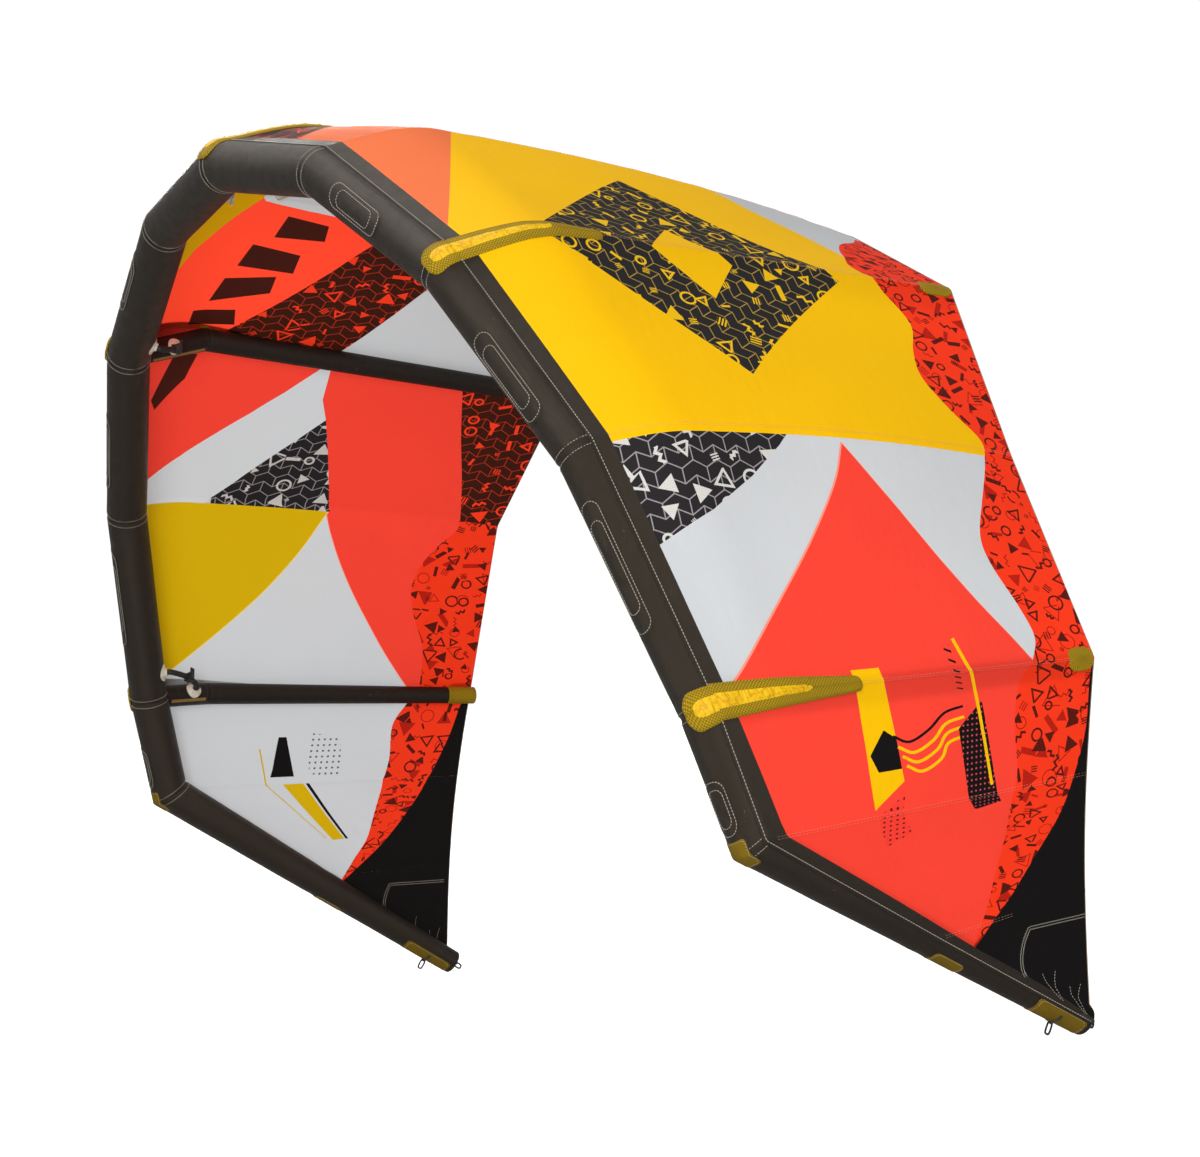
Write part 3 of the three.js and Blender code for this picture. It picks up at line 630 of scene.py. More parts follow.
class Shape:
    """Vertices and faces being gathered, each face with its material and its cloth places."""

    def __init__(self):
        self.points, self.faces, self.paint, self.where = [], [], [], []

    def grid(self, rows, paint=None, closed=False):
        """Quads between rows of points. closed joins the last column to the first."""
        first, count = len(self.points), len(rows[0])
        for row in rows:
            self.points.extend(row)
        widest = list(max(rows, key=lambda r: sum((a - b).length for a, b in zip(r, r[1:]))))
        if closed:
            widest.append(widest[0])
        across, u = [0.0], 0.0
        for a, b in zip(widest, widest[1:]):
            across.append(across[-1] + (b - a).length)
        for i in range(len(rows) - 1):
            step = (rows[i + 1][count // 2] - rows[i][count // 2]).length
            for j in range(count if closed else count - 1):
                k = (j + 1) % count
                a, b = first + i * count, first + (i + 1) * count
                self.faces.append((a + j, a + k, b + k, b + j))
                near, far = across[j], across[j + 1]
                self.where.append(((u, near), (u, far), (u + step, far), (u + step, near)))
                self.paint.append(paint(i, j) if paint else 0)
            u += step

    def fan(self, row, centre, flip=False):
        """Triangles from a closed row to a centre."""
        first = len(self.points)
        self.points.extend(list(row) + [centre])
        for j in range(len(row)):
            face = (first + j, first + (j + 1) % len(row), first + len(row))
            face = face[::-1] if flip else face
            spots = [self.points[v] - centre for v in face]
            self.faces.append(face)
            self.where.append(tuple((p.x + p.y * 0.3, p.z + p.y * 0.5) for p in spots))
            self.paint.append(0)

    def capped(self, rows, flip=True):
        """A tube of rows that is closed at both ends."""
        self.grid(rows, closed=True)
        for row, back in ((rows[0], flip), (rows[-1], not flip)):
            self.fan(row, middle_of(row), flip=back)

    def make(self, name, materials, slot, body=FRAME_BODY, nodes=(), crease=50, turn_faces=True):
        """The finished piece. It stands in for the CAD node of its own name, if there is one."""
        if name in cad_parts:
            nodes = [name]
            name += "_shown"
        mesh = bpy.data.meshes.new(name)
        mesh.from_pydata([tuple(p) for p in self.points], [], self.faces)
        layer = mesh.uv_layers.new(name="cloth")
        layer.data.foreach_set("uv", [v for spots in self.where for spot in spots for v in spot])
        for material in materials.split():
            mesh.materials.append(MATERIALS[material])
        mesh.polygons.foreach_set("material_index", self.paint)
        mesh.validate()
        made = bpy.data.objects.new(name, mesh)
        bpy.context.scene.collection.objects.link(made)
        work = bmesh.new()
        work.from_mesh(mesh)
        bmesh.ops.remove_doubles(work, verts=work.verts, dist=1e-6)
        if turn_faces:
            bmesh.ops.recalc_face_normals(work, faces=work.faces)
        work.to_mesh(mesh)
        work.free()
        mesh.shade_smooth()
        mesh.set_sharp_from_angle(angle=radians(crease))
        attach(made, body)
        if nodes:
            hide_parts(*nodes)
        return made


def steps(start, stop, size):
    """Values from start to stop, about size apart, both ends included."""
    count = max(1, ceil(abs(stop - start) / size))
    return [lerp(start, stop, i / count) for i in range(count + 1)]


def smooth(points, parts):
    """A Catmull-Rom line through points, with so many parts between two of them."""
    ends = [points[0] * 2 - points[1]] + points + [points[-1] * 2 - points[-2]]
    spans = range(len(points) - 1)
    return [catmull(*ends[i : i + 4], k / parts) for i in spans for k in range(parts)] + [points[-1]]


def split(p, q, parts):
    return [(lerp(p[0], q[0], k / parts), lerp(p[1], q[1], k / parts)) for k in range(parts)]


def walk(surface, line, pitch):
    """Places pitch metres apart along a line on a surface: point, forward, outward, sideways."""
    dense = []
    for p, q in zip(line, line[1:]):
        dense += split(p, q, max(2, ceil((surface(*q, 0) - surface(*p, 0)).length / 0.02)))
    dense.append(line[-1])
    points = [surface(a, b, 0) for a, b in dense]
    lengths = np.concatenate([[0], np.cumsum([(q - p).length for p, q in zip(points, points[1:])])])
    count = max(2, round(lengths[-1] / pitch))
    found = []
    for target in np.linspace(0, lengths[-1], count + 1):
        a, b = (float(np.interp(target, lengths, [d[k] for d in dense])) for k in (0, 1))
        here = surface(a, b, 0)
        found.append((here, (surface(a, b, 0.01) - here).normalized()))
    result = []
    for i, (here, normal) in enumerate(found):
        forward = (found[min(i + 1, count)][0] - found[max(i - 1, 0)][0]).normalized()
        result.append((here, forward, normal, forward.cross(normal).normalized()))
    return result


class Threads:
    """Sewing gathered into one piece: each stitch is a short round thread on the cloth."""

    def __init__(self):
        self.shape = Shape()

    def run(self, points, radius):
        rows, last = [], len(points) - 1
        for i, here in enumerate(points):
            forward = (points[min(i + 1, last)] - points[max(i - 1, 0)]).normalized()
            side = forward.cross(Vector((0.31, 0.52, 0.79))).normalized()
            size = radius * (0.6 if i in (0, last) else 1)
            rows.append(ring(here, side * size, forward.cross(side) * size, 4))
        self.shape.grid(rows, closed=True)

    def straight(self, surface, line, pitch, lift, radius, offset=0.0):
        for here, forward, normal, side in walk(surface, line, pitch):
            middle = here + side * offset + normal * lift
            reach, sunk = forward * (pitch * 0.33), normal * 0.0005
            self.run([middle - reach - sunk, middle + normal * 0.0003, middle + reach - sunk], radius)

    def zigzag(self, surface, line, pitch, width, lift, radius, offset):
        path = []
        for i, (here, _, normal, side) in enumerate(walk(surface, line, pitch)):
            path.append(here + side * (offset + width * (-1) ** i) + normal * lift)
        self.run(path, radius)

    def make(self, name, material, slot):
        self.shape.make(name, material, slot, crease=80)


def toward(centre, spot, share):
    return lerp(centre[0], spot[0], share), lerp(centre[1], spot[1], share)


def patch(shape, surface, outline, thick):
    """A piece of cloth laid on a surface: rings of an outline that shrinks to its middle."""
    centre = [sum(p[k] for p in outline) / len(outline) for k in (0, 1)]
    rows = []
    for share in (1, 0.985, 0.86, 0.7, 0.54, 0.38, 0.22, 0.08):
        lift = -0.0004 if share == 1 else thick
        rows.append([surface(*toward(centre, spot, share), lift) for spot in outline])
    shape.grid(rows, closed=True)
    shape.fan(rows[-1], surface(*centre, thick))


def rounded(a0, a1, b0, b1, ra, rb, parts=7):
    """The outline of a rectangle with round corners, in a surface's own coordinates."""
    outline, dense = [], []
    corners = ((a1 - ra, b1 - rb), (a0 + ra, b1 - rb), (a0 + ra, b0 + rb), (a1 - ra, b0 + rb))
    for start, (x, y) in enumerate(corners):
        for k in range(parts + 1):
            turn = pi / 2 * (start + k / parts)
            outline.append((x + ra * cos(turn), y + rb * sin(turn)))
    for p, q in zip(outline, outline[1:] + outline[:1]):
        dense += split(p, q, 5 if abs(p[0] - q[0]) > ra or abs(p[1] - q[1]) > rb else 1)
    return dense


# ------------------------------------------------------------------ canopy

SEAMS = range(TIP)
COLUMN_STEP, SEWN_WIDTH, PANEL_CLEARANCE = 0.042, 0.009, 0.007
SEAM_HALF, SEAM_COLUMNS = 0.0055, (-0.0075, -0.0052, 0, 0.0052, 0.0075)
OUTLINE_STEP, HEM_RADIUS = 0.012, 0.0014
WIDE, TALL = 0.75, 1.9  # metres of cloth for one station and for one chord, near enough to lay out panels


def spots(text):
    """Places on a wing, each as its station and its chord share."""
    return [tuple(float(v) for v in spot.split(",")) for spot in text.split()]


def smooth_line(text, parts=5):
    return [tuple(p) for p in smooth([Vector(p) for p in spots(text)], parts)]


def whole(first, last):
    return [(first, 0), (last, 0), (last, 1), (first, 1)]


BAND_RIGHT = smooth_line(
    "1.1,0.985 1.22,0.96 1.31,0.935 1.38,0.905 1.47,0.875 1.6,0.848 1.7,0.836 1.85,0.815 2.06,0.835 "
    "2.27,0.87 2.45,0.845 2.62,0.835 2.8,0.875 2.95,0.925 3.07,0.91 3.25,0.86 3.42,0.815 3.55,0.815 "
    "3.72,0.845 3.88,0.86 4.0,0.825 4.15,0.785 4.5,0.765 4.9,0.765 5.15,0.72 5.45,0.635 5.76,0.475 "
    "5.97,0.3 6.17,0.04"
)
BAND_LEFT = smooth_line(
    "3.0,0.9 3.06,0.895 3.15,0.855 3.28,0.81 3.42,0.79 3.57,0.805 3.73,0.835 3.87,0.84 4.0,0.835 "
    "4.17,0.8 4.4,0.765 4.8,0.76 5.15,0.715 5.6,0.575 5.85,0.39 6.03,0.18 6.1,0.06"
)
TIP_CORNER_RIGHT = smooth_line("4.0,1.0 4.17,0.992 4.7,0.985 5.2,0.92 5.53,0.79 5.83,0.57 6.05,0.27 6.17,0.04")
TIP_CORNER_LEFT = smooth_line(
    "4.0,0.99 4.17,0.975 4.57,0.95 5.05,0.89 5.4,0.79 5.68,0.64 5.88,0.44 6.05,0.17 6.1,0.04"
)
FIN_FRONT = smooth_line("4.0,0.0 3.925,0.07 3.775,0.17 3.55,0.31 3.375,0.405 3.2,0.485 3.05,0.533", 6)
FIN_REAR = smooth_line("3.05,0.533 3.225,0.588 3.425,0.65 3.65,0.722 3.85,0.79 4.0,0.835", 6)
CORAL_LEFT = smooth_line("3.03,0.548 3.15,0.563 3.3,0.59 3.45,0.625 3.6,0.668 3.75,0.715 3.88,0.762 4.0,0.81")
YELLOW_LEFT = smooth_line("3.03,0.555 3.25,0.48 3.45,0.387 3.63,0.28 3.8,0.165 3.9,0.085 3.97,0")
BAND_START_LEFT = smooth_line("2.0,0.765 2.147,0.78 2.417,0.815 2.736,0.865 3.02,0.905", 4)
# the wavy stripes: station, chord share, and how much of a shift the chord share takes
WAVE = ((4.43, 0.412, 0.1), (4.49, 0.455, 0.1), (4.42, 0.515, 0.1), (4.31, 0.565, 0), (4.275, 0.62, 0))
TICKS = [(3.9 + k * 0.045, 0.605 + k * 0.001) for k in range(6)]


def stripe(line, width):
    """The outline of a stripe of even width along a line."""
    line = [Vector((a * WIDE, b * TALL)) for a, b in line]
    sides = [[], []]
    for i, here in enumerate(line):
        along_ = (line[min(i + 1, len(line) - 1)] - line[max(i - 1, 0)]).normalized()
        across = Vector((-along_.y, along_.x)) * (width / 2)
        for side, spot in zip(sides, (here + across, here - across)):
            side.append((spot.x / WIDE, spot.y / TALL))
    return sides[0] + sides[1][::-1]


def in_tile(a, b):
    near = Vector((1.262, 0.468)).lerp(Vector((2.06, 0.745)), a)
    return tuple(near.lerp(Vector((2.0, 0.14)).lerp(Vector((2.725, 0.407)), a), b))


def wave(shift):
    line = smooth([Vector((a + shift, b + shift * share)) for a, b, share in WAVE], 5)
    return [tuple(p) for p in line]


# Each wing's cloth, painted in this order, each region over those before it.
PANELS = {
    1: [
        ("yellow", whole(0, 3.03)),
        ("orange", smooth_line("1.945,0 1.688,0.06 1.418,0.12 0.919,0.23 0.45,0.34 0,0.44", 4) + spots("0,0")),
        ("print_coral", spots("0,0 0,0.2 0.33,0.135 0.63,0")),
        ("white", smooth_line(
            "0,0.62 0.7,0.68 1.0,0.71 1.2,0.735 1.3,0.76 1.43,0.795 1.55,0.818 1.675,0.835 1.8,0.84"
        ) + spots("1.8,1 0,1")),
        ("print_yellow", [in_tile(0, 0), in_tile(1, 0), in_tile(1, 1), in_tile(0, 1)]),
        ("yellow", [in_tile(0.34, 0.36), in_tile(0.66, 0.4), in_tile(0.7, 0.68), in_tile(0.38, 0.64)]),
        ("white", whole(3.03, 4.02)),
        ("print_white", spots("3.03,0 3.03,0.405 3.075,0.378 3.2,0.285 3.325,0.165 3.42,0.035 3.44,0")),
        ("coral", FIN_FRONT + FIN_REAR[1:] + spots("4.03,0.84 4.03,0")),
        ("pale_coral", stripe(FIN_FRONT, 0.007)),
        ("pale_coral", stripe(FIN_REAR, 0.003)),
        ("coral", whole(4.0, 7)),
        ("yellow", spots("3.95,0.345 3.95,0.418 4.775,0.42 4.95,0.318")),
        ("black", spots("4.375,0.39 4.55,0.338 4.68,0.352 4.68,0.42 4.45,0.42")),
        ("black", stripe(wave(0), 0.015)),
        *(("yellow", stripe(wave(shift), 0.017)) for shift in (0.085, 0.16, 0.235)),
        ("dotted_black", spots("4.25,0.675 5.075,0.7 5.1,0.607 4.45,0.6")),
        ("yellow", stripe(spots("3.86,0.638 4.03,0.655 4.93,0.683"), 0.017)),
        ("dotted_coral", spots("5.0,0.325 4.87,0.415 5.17,0.375 5.24,0.26")),
        *(("black", stripe([(a, b), (a + 0.015, b + 0.017)], 0.008)) for a, b in TICKS),
        ("band", BAND_RIGHT + spots("6.2,0 7,0 7,1 1.1,1")),
        ("black", TIP_CORNER_RIGHT + spots("6.2,0 7,0 7,1")),
    ],
    -1: [
        ("coral", whole(0, 3.03)),
        # The inner bays take the brighter coral copy: painted light.
        ("coral_high", whole(0, 2)),
        ("white", spots("0,0.25 1.009,0.2 1.029,0.205 1.039,0.24 1.048,0.295 1.058,0.37 1.08,0.6 1.1,1 0,1")),
        ("yellow", spots("0,0 1.62,0 1.518,0.08 1.398,0.1 1.288,0.13 1.148,0.165 1.009,0.2 0,0.25")),
        ("print_coral", spots("0,0 0,0.2 0.33,0.135 0.63,0")),
        ("print_coral", spots(
            "1.98,0.228 1.907,0.25 1.747,0.3 1.588,0.345 1.428,0.39 1.258,0.43 0.9,0.52 0.9,0.7 1.428,0.59 "
            "1.618,0.555 1.807,0.52 2.04,0.472"
        )),
        ("white", spots("0.9,0.7 1.428,0.59 1.618,0.555 1.807,0.52 2.04,0.472 2.06,0.83 2.0,1 0.9,1")),
        ("dark_red", spots("1.108,0.26 1.13,0.345 1.24,0.35 1.268,0.25")),
        ("dark_red", spots("1.338,0.215 1.36,0.315 1.49,0.315 1.5,0.2")),
        ("dark_red", spots("1.60,0.185 1.53,0.285 1.65,0.285 1.78,0.17")),
        ("dark_red", spots("1.86,0.145 1.81,0.23 1.92,0.24 1.97,0.145")),
        ("dark_red", spots("2.157,0.12 2.14,0.175 2.29,0.15 2.46,0.08 2.4,0.07")),
        ("white", spots(
            "3.04,0 2.95,0 2.876,0.075 2.756,0.155 2.606,0.235 2.456,0.31 2.297,0.38 2.127,0.445 2.04,0.472 "
            "2.307,0.47 2.437,0.49 2.7,0.45 3.04,0.4"
        )),
        ("print_white", spots(
            "3.045,0.222 2.9,0.298 2.746,0.368 2.596,0.432 2.437,0.49 2.656,0.517 2.896,0.545 3.046,0.56"
        )),
        ("print_coral", BAND_START_LEFT + spots("3.02,1 2.0,1")),
        ("white", whole(3.03, 7)),
        ("coral", CORAL_LEFT + spots("4.02,1 3.03,1")),
        # This yellow and the yellow regions below it are the darker copy: painted shade.
        ("yellow_left", YELLOW_LEFT + spots("3.03,0")),
        ("pale_yellow", stripe(YELLOW_LEFT, 0.004)),
        ("pale_coral", stripe(CORAL_LEFT, 0.004)),
        ("dotted_white", spots("4.46,0.5 4.5,0.60 4.95,0.60 4.9,0.49")),
        ("black", spots("4.5,0.40 4.5,0.425 4.92,0.44 4.92,0.36 4.84,0.37")),
        ("yellow_left", spots("5.0,0.40 5.0,0.47 5.62,0.445 5.62,0.385")),
        ("black", spots("5.0,0.478 5.0,0.49 5.62,0.465 5.62,0.452")),
        ("yellow_left", stripe(spots("4.62,0.335 5.05,0.345 5.6,0.362"), 0.01)),
        ("band", BAND_LEFT + spots("6.1,0 7,0 7,1 3.0,1")),
        ("black", TIP_CORNER_LEFT + spots("6.1,0 7,0 7,1 4,1")),
    ],
}
FRONT_STRIP = spots("0,0 0,0.026 1,0.025 2,0.026 3,0.028 4,0.034 4.9,0.05 5,0.055 6.2,0.08 7,0.2 7,0")
for regions in PANELS.values():
    regions.append(("dacron", FRONT_STRIP))
CANOPY_MATERIALS = sorted({material for regions in PANELS.values() for material, _ in regions})
CHORDS = {side: [(trail(side, i) - lead(side, i)).length for i in range(TIP + 1)] for side in (-1, 1)}


def cloth_place(side, s, c):
    return along(ALONG_LEADING, s) * side, 2 - (1 - c) * along(CHORDS[side], s)


def inside(points, polygon):
    """Which points lie in a polygon, by counting the edges to one side of each."""
    x, y = points[:, 0], points[:, 1]
    odd = np.zeros(len(points), bool)
    for (x0, y0), (x1, y1) in zip(polygon, polygon[1:] + polygon[:1]):
        if y0 != y1:
            odd ^= ((y0 > y) != (y1 > y)) & (x < (x1 - x0) * (y - y0) / (y1 - y0) + x0)
    return odd


def gap_to(seam, s):
    """Metres of leading edge between a station and a seam."""
    low = min(seam, TIP - 1) if s >= seam else max(seam - 1, 0)
    return abs(s - seam) * (ALONG_LEADING[low + 1] - ALONG_LEADING[low])


def seam_distance(s):
    return gap_to(min(SEAMS, key=lambda k: abs(s - k)), s)


def canopy_lift(side, s, c):
    """Wrinkles: slow swells along the chord, puckers beside each seam, and the seam itself."""
    u, v = along(ALONG_LEADING, s) + side * 20, c * 2
    gap = seam_distance(s)
    lift = 0.002 * noise.noise(Vector((u * 3.1, v * 1.1, 0.3)))
    lift += 0.0011 * noise.noise(Vector((u * 9, v * 3.5, 4.1)))
    lift += 0.0022 * exp(-gap / 0.05) * noise.noise(Vector((u * 4, v * 17, 8.3)))
    if round(s) in (0, 2, 4) and gap < 0.04:
        lift = max(lift, -0.0004)
    if gap < SEAM_HALF:
        lift += 0.0009
    return lift * min(1, c * 12)


def wrinkled(side, face=1):
    """The surface of a wing's cloth: of its outside, or of its inside where face is -1."""
    return lambda s, c, lift: canopy(side, s, c, lift * face + canopy_lift(side, s, c))


def densify(polygon):
    dense = []
    for p, q in zip(polygon, polygon[1:] + polygon[:1]):
        dense += split(p, q, max(1, ceil(hypot((q[0] - p[0]) * WIDE, (q[1] - p[1]) * TALL) / OUTLINE_STEP)))
    return dense


def canopy_sheet(name, side, first, last):
    """One bay of cloth, cut along the edges of its coloured panels."""

    def clamp(p):
        return min(last, max(first, p[0])), min(1.0, max(0.0, p[1]))

    outlines = []
    for material, polygon in PANELS[side]:
        if max(p[0] for p in polygon) > first and min(p[0] for p in polygon) < last:
            outlines.append((material, [clamp(p) for p in densify(polygon)]))
    columns = set(steps(first, last, COLUMN_STEP))
    for seam in SEAMS:
        for gap in SEAM_COLUMNS:
            span = ALONG_LEADING[min(seam + (gap >= 0), TIP)] - ALONG_LEADING[max(seam - (gap < 0), 0)]
            spot = seam + gap / max(span, 0.3)
            if first <= spot <= last:
                columns = {x for x in columns if abs(x - spot) > 0.004 or x in (first, last)} | {spot}
    columns = sorted(columns)
    rows = steps(0, 0.06, 0.008)[:-1] + steps(0.06, 0.99, 0.019) + [0.9945, 1]
    depth = len(rows)
    free = np.array([(s, c) for s in columns for c in rows]) * (WIDE, TALL)
    marks = np.array([p for _, line in outlines for p in line]) * (WIDE, TALL)
    # Columns along a seam stay whole. Elsewhere a point too near a panel's edge gives way to it.
    sewn = {i for i, s in enumerate(columns) if seam_distance(s) < SEWN_WIDTH or s in (first, last)}
    held = []
    for k, spot in enumerate(free):
        column, row = divmod(k, depth)
        fixed = column in sewn or row in (0, depth - 1)
        if fixed or np.min(np.abs(marks - spot).max(axis=1)) >= PANEL_CLEARANCE:
            held.append(k)
    points = [Vector(free[k]) for k in held]
    renamed = {old: new for new, old in enumerate(held)}
    lines = [(renamed[k], renamed[k + 1]) for k in held if k // depth in sewn and (k + 1) % depth]
    for _, line in outlines:
        start = len(points)
        points += [Vector((a * WIDE, b * TALL)) for a, b in line]
        lines += [(start + i, start + (i + 1) % len(line)) for i in range(len(line))]
    flat_points, _, faces, *_ = delaunay_2d_cdt(points, lines, [], 0, 1e-5)
    places = [clamp((p.x / WIDE, p.y / TALL)) for p in flat_points]
    kept = []
    for face in faces:
        a, b, c = (Vector(flat_points[v]) for v in face[:3])
        if abs((b - a).cross(c - a)) > 1e-9:
            kept.append(tuple(face))
    middles = np.array([[sum(places[v][k] for v in face) / 3 for k in (0, 1)] for face in kept])
    paint = np.zeros(len(kept), int)
    for material, line in outlines:
        paint[inside(middles, line)] = CANOPY_MATERIALS.index(material)
    shape = Shape()
    surface = wrinkled(side)
    shape.points = [surface(s, c, 0) for s, c in places]
    a, b, c = (shape.points[v] for v in kept[0])
    if (b - a).cross(c - a).dot(outward(side, first + 0.3)) < 0:
        kept = [face[::-1] for face in kept]
    shape.faces = kept
    shape.where = [tuple(cloth_place(side, *places[v]) for v in face) for face in kept]
    shape.paint = [int(p) for p in paint]
    made = shape.make(name, " ".join(CANOPY_MATERIALS), "canopy_yellow", crease=180, turn_faces=False)


# name: first and last station, flat size and flat area
BAYS = {
    "centre": (0, 2, (1.46, 2.16), 2.9),
    "outer": (2, 4, (1.62, 2.0), 2.4),
    "tip": (4, 7, (1.72, 1.42), 0.9),
}


def make_canopy(side_name, side):
    for bay, (first, last, flat, area) in BAYS.items():
        canopy_sheet(f"canopy_{bay}_{side_name}", side, first, last)
    surface = wrinkled(side)
    sewing = Threads()
    for seam in SEAMS:
        line = [(max(seam, 1e-4), c) for c in steps(0.03, 0.47 if seam == 6 else 0.995, 0.05)]
        for offset in (-0.0035, 0.0035):
            sewing.straight(surface, line, 0.012, 0.0005, 0.0004, offset)
    sewing.make(f"canopy_stitching_{side_name}", "pale_thread", "canopy_red")
    # The trailing edge is folded over a thin line.
    hem = Shape()
    rows = []
    for s in steps(0, TIP, 0.03):
        forward = canopy(side, min(s + 0.01, TIP), 1) - canopy(side, max(s - 0.01, 0), 1)
        up = outward(side, s)
        back = forward.normalized().cross(up).normalized()
        rows.append(ring(canopy(side, s, 1, 0.0004), up * HEM_RADIUS, back * HEM_RADIUS, 8))
    hem.grid(rows, closed=True)
    hem.make(f"trailing_hem_{side_name}", "hem", "canopy_red")


# ------------------------------------------------------------------ leading edge

SEGMENTS = {"centre": (0, 1), "quarter": (1, 2), "shoulder": (2, 3), "outer": (3, 4), "corner": (4, 5), "tip": (5, 7)}
NEAR_RING = [0, 0.003, 0.007, 0.012, 0.018, 0.026, 0.036, 0.05, 0.07, 0.095]
TIP_CAP = ((0.97, 0.003), (0.9, 0.006), (0.7, 0.0085), (0.4, 0.0095))  # share of the radius, how far out
CREST_SEAM = ((-0.011, 0.0018), (-0.0095, 0.0036), (0, 0.0036), (0.012, 0.0032), (0.0135, 0))
# first and last station, first and last angle in degrees
GUARDS = ((1.24, 1.62, 50, 112), (2.36, 2.82, 50, 112), (3.17, 3.7, 52, 116), (4.45, 4.85, 50, 118))
CORNERS = ((4.88, 5.07, 48, 125), (6.02, 6.2, 42, 118), (6.66, 6.98, 12, 160))


def casing_lift(side, s, angle, seams):
    """Cloth drawn in at each sewn ring, with puckers that fade away from it."""
    x, y = cos(angle), sin(angle)
    lift = 0.0006 + 0.0005 * noise.noise(Vector((s * 6, x * 2, y * 2 + side)))
    for seam in seams:
        gap = gap_to(seam, s)
        lift -= 0.0032 * exp(-((gap / 0.009) ** 2))
        fold = noise.noise(Vector((x * 5, y * 5, seam * 3.7 + side + s * 2)))
        lift += 0.0045 * exp(-gap / 0.05) * fold * (1 - exp(-gap / 0.01))
    return lift


def make_casing(name, side, first, last):
    shape = Shape()
    length = ALONG_LEADING[last] - ALONG_LEADING[first]
    gaps = NEAR_RING + (steps(0.125, length - 0.125, 0.035) if length >= 0.45 else [])
    gaps += [length - x for x in NEAR_RING[::-1]]
    seams = range(first, min(last + 1, TIP))
    rows = []
    for gap in gaps:
        s = float(np.interp(ALONG_LEADING[first] + gap, ALONG_LEADING, range(TIP + 1)))
        rows.append([tube(side, s, a, casing_lift(side, s, a, seams)) for a in around(60)])
    shape.grid(rows, closed=True)
    if last == TIP:
        run, centre = segment_axis(side, TIP), lead(side, TIP)
        closing = [rows[-1]]
        for share, out in TIP_CAP:
            closing.append([centre + (p - centre) * share + run * out for p in rows[-1]])
        shape.grid(closing, closed=True)
        shape.fan(closing[-1], centre + run * 0.01)
    shape.make(name, "dacron", "leading_edge_cloth")


def make_leading_edge(side_name, side):
    on_tube = lambda s, angle, lift: tube(side, s, angle, lift + 0.0008)
    light = Threads()
    for segment, (first, last) in SEGMENTS.items():
        make_casing(f"le_casing_{segment}_{side_name}", side, first, last)
        for gap in (-0.014, 0.014):
            if first > 0 or gap > 0:
                s = first + gap / (ALONG_LEADING[first + (gap > 0)] - ALONG_LEADING[first - (gap < 0)])
                light.straight(on_tube, [(s, a) for a in steps(-pi, pi, 0.12)], 0.0095, 0.0004, 0.001)
    # The long seam that closes the casing runs along the crest, over the canopy's front edge.
    crest = Shape()
    crest.grid([[tube(side, s, d / tube_radius(s), lift) for d, lift in CREST_SEAM] for s in steps(0, TIP, 0.02)])
    crest.make(f"le_crest_seam_{side_name}", "dacron", "leading_edge_cloth")
    line = [(s, 0.004 / tube_radius(s)) for s in steps(0.01, TIP - 0.02, 0.05)]
    light.straight(on_tube, line, 0.0105, 0.0036, 0.0013)
    # Patches that guard the nose of each segment against the sand.
    guards = Shape()
    for s0, s1, *angles in GUARDS:
        a0, a1 = (radians(a) for a in angles)
        span = ALONG_LEADING[int(s0) + 1] - ALONG_LEADING[int(s0)]
        outline = rounded(s0, s1, a0, a1, 0.035 / span, 0.035 / 0.075)
        patch(guards, on_tube, outline, 0.0011)
        for share in (0.93, 0.66):
            line = [toward(((s0 + s1) / 2, (a0 + a1) / 2), spot, share) for spot in outline]
            light.straight(on_tube, line + line[:1], 0.0095, 0.0016, 0.0012)
    guards.make(f"le_guard_patches_{side_name}", "dacron", "leading_edge_cloth")
    # Mesh patches at the bends and at the end of the tip.
    corners = Shape()
    for s0, s1, *angles in CORNERS:
        a0, a1 = (radians(a) for a in angles)
        outline = rounded(s0, s1, a0, a1, 0.03, 0.012 / tube_radius((s0 + s1) / 2), 4)
        patch(corners, on_tube, outline, 0.0014)
        line = [(lerp((s0 + s1) / 2, a, 0.9), lerp((a0 + a1) / 2, b, 0.92)) for a, b in outline]
        light.straight(on_tube, line, 0.008, 0.002, 0.0006)
    corners.make(f"le_corner_patches_{side_name}", "olive_dark", "olive_mesh")
    light.make(f"le_stitching_{side_name}", "thread", "leading_edge_cloth")


def make_leading_bladder():
    shape = Shape()
    rows = []
    for side, start, stop in ((-1, 6.97, 0.02), (1, 0.02, 6.97)):
        for s in steps(start, stop, 0.06):
            rows.append([tube(side, s, a * side, -0.0075 + 0.001 * sin(3 * a * side + 5 * s)) for a in around(28)])
    shape.capped(rows, flip=False)
    shape.make("le_bladder_film", "film", "bladder_film", nodes=["le_bladder"])


# ------------------------------------------------------------------ struts

COVER_LENGTH = 0.115
STRAPS = {0: (3.0, 0.18), 2: (3.1, 0.25), 4: (3.0, 0.17)}  # station: angle and length
STRAP_SECTION = ((-0.0065, 0), (-0.0058, 0.0022), (0, 0.0025), (0.0058, 0.0022), (0.0065, 0))


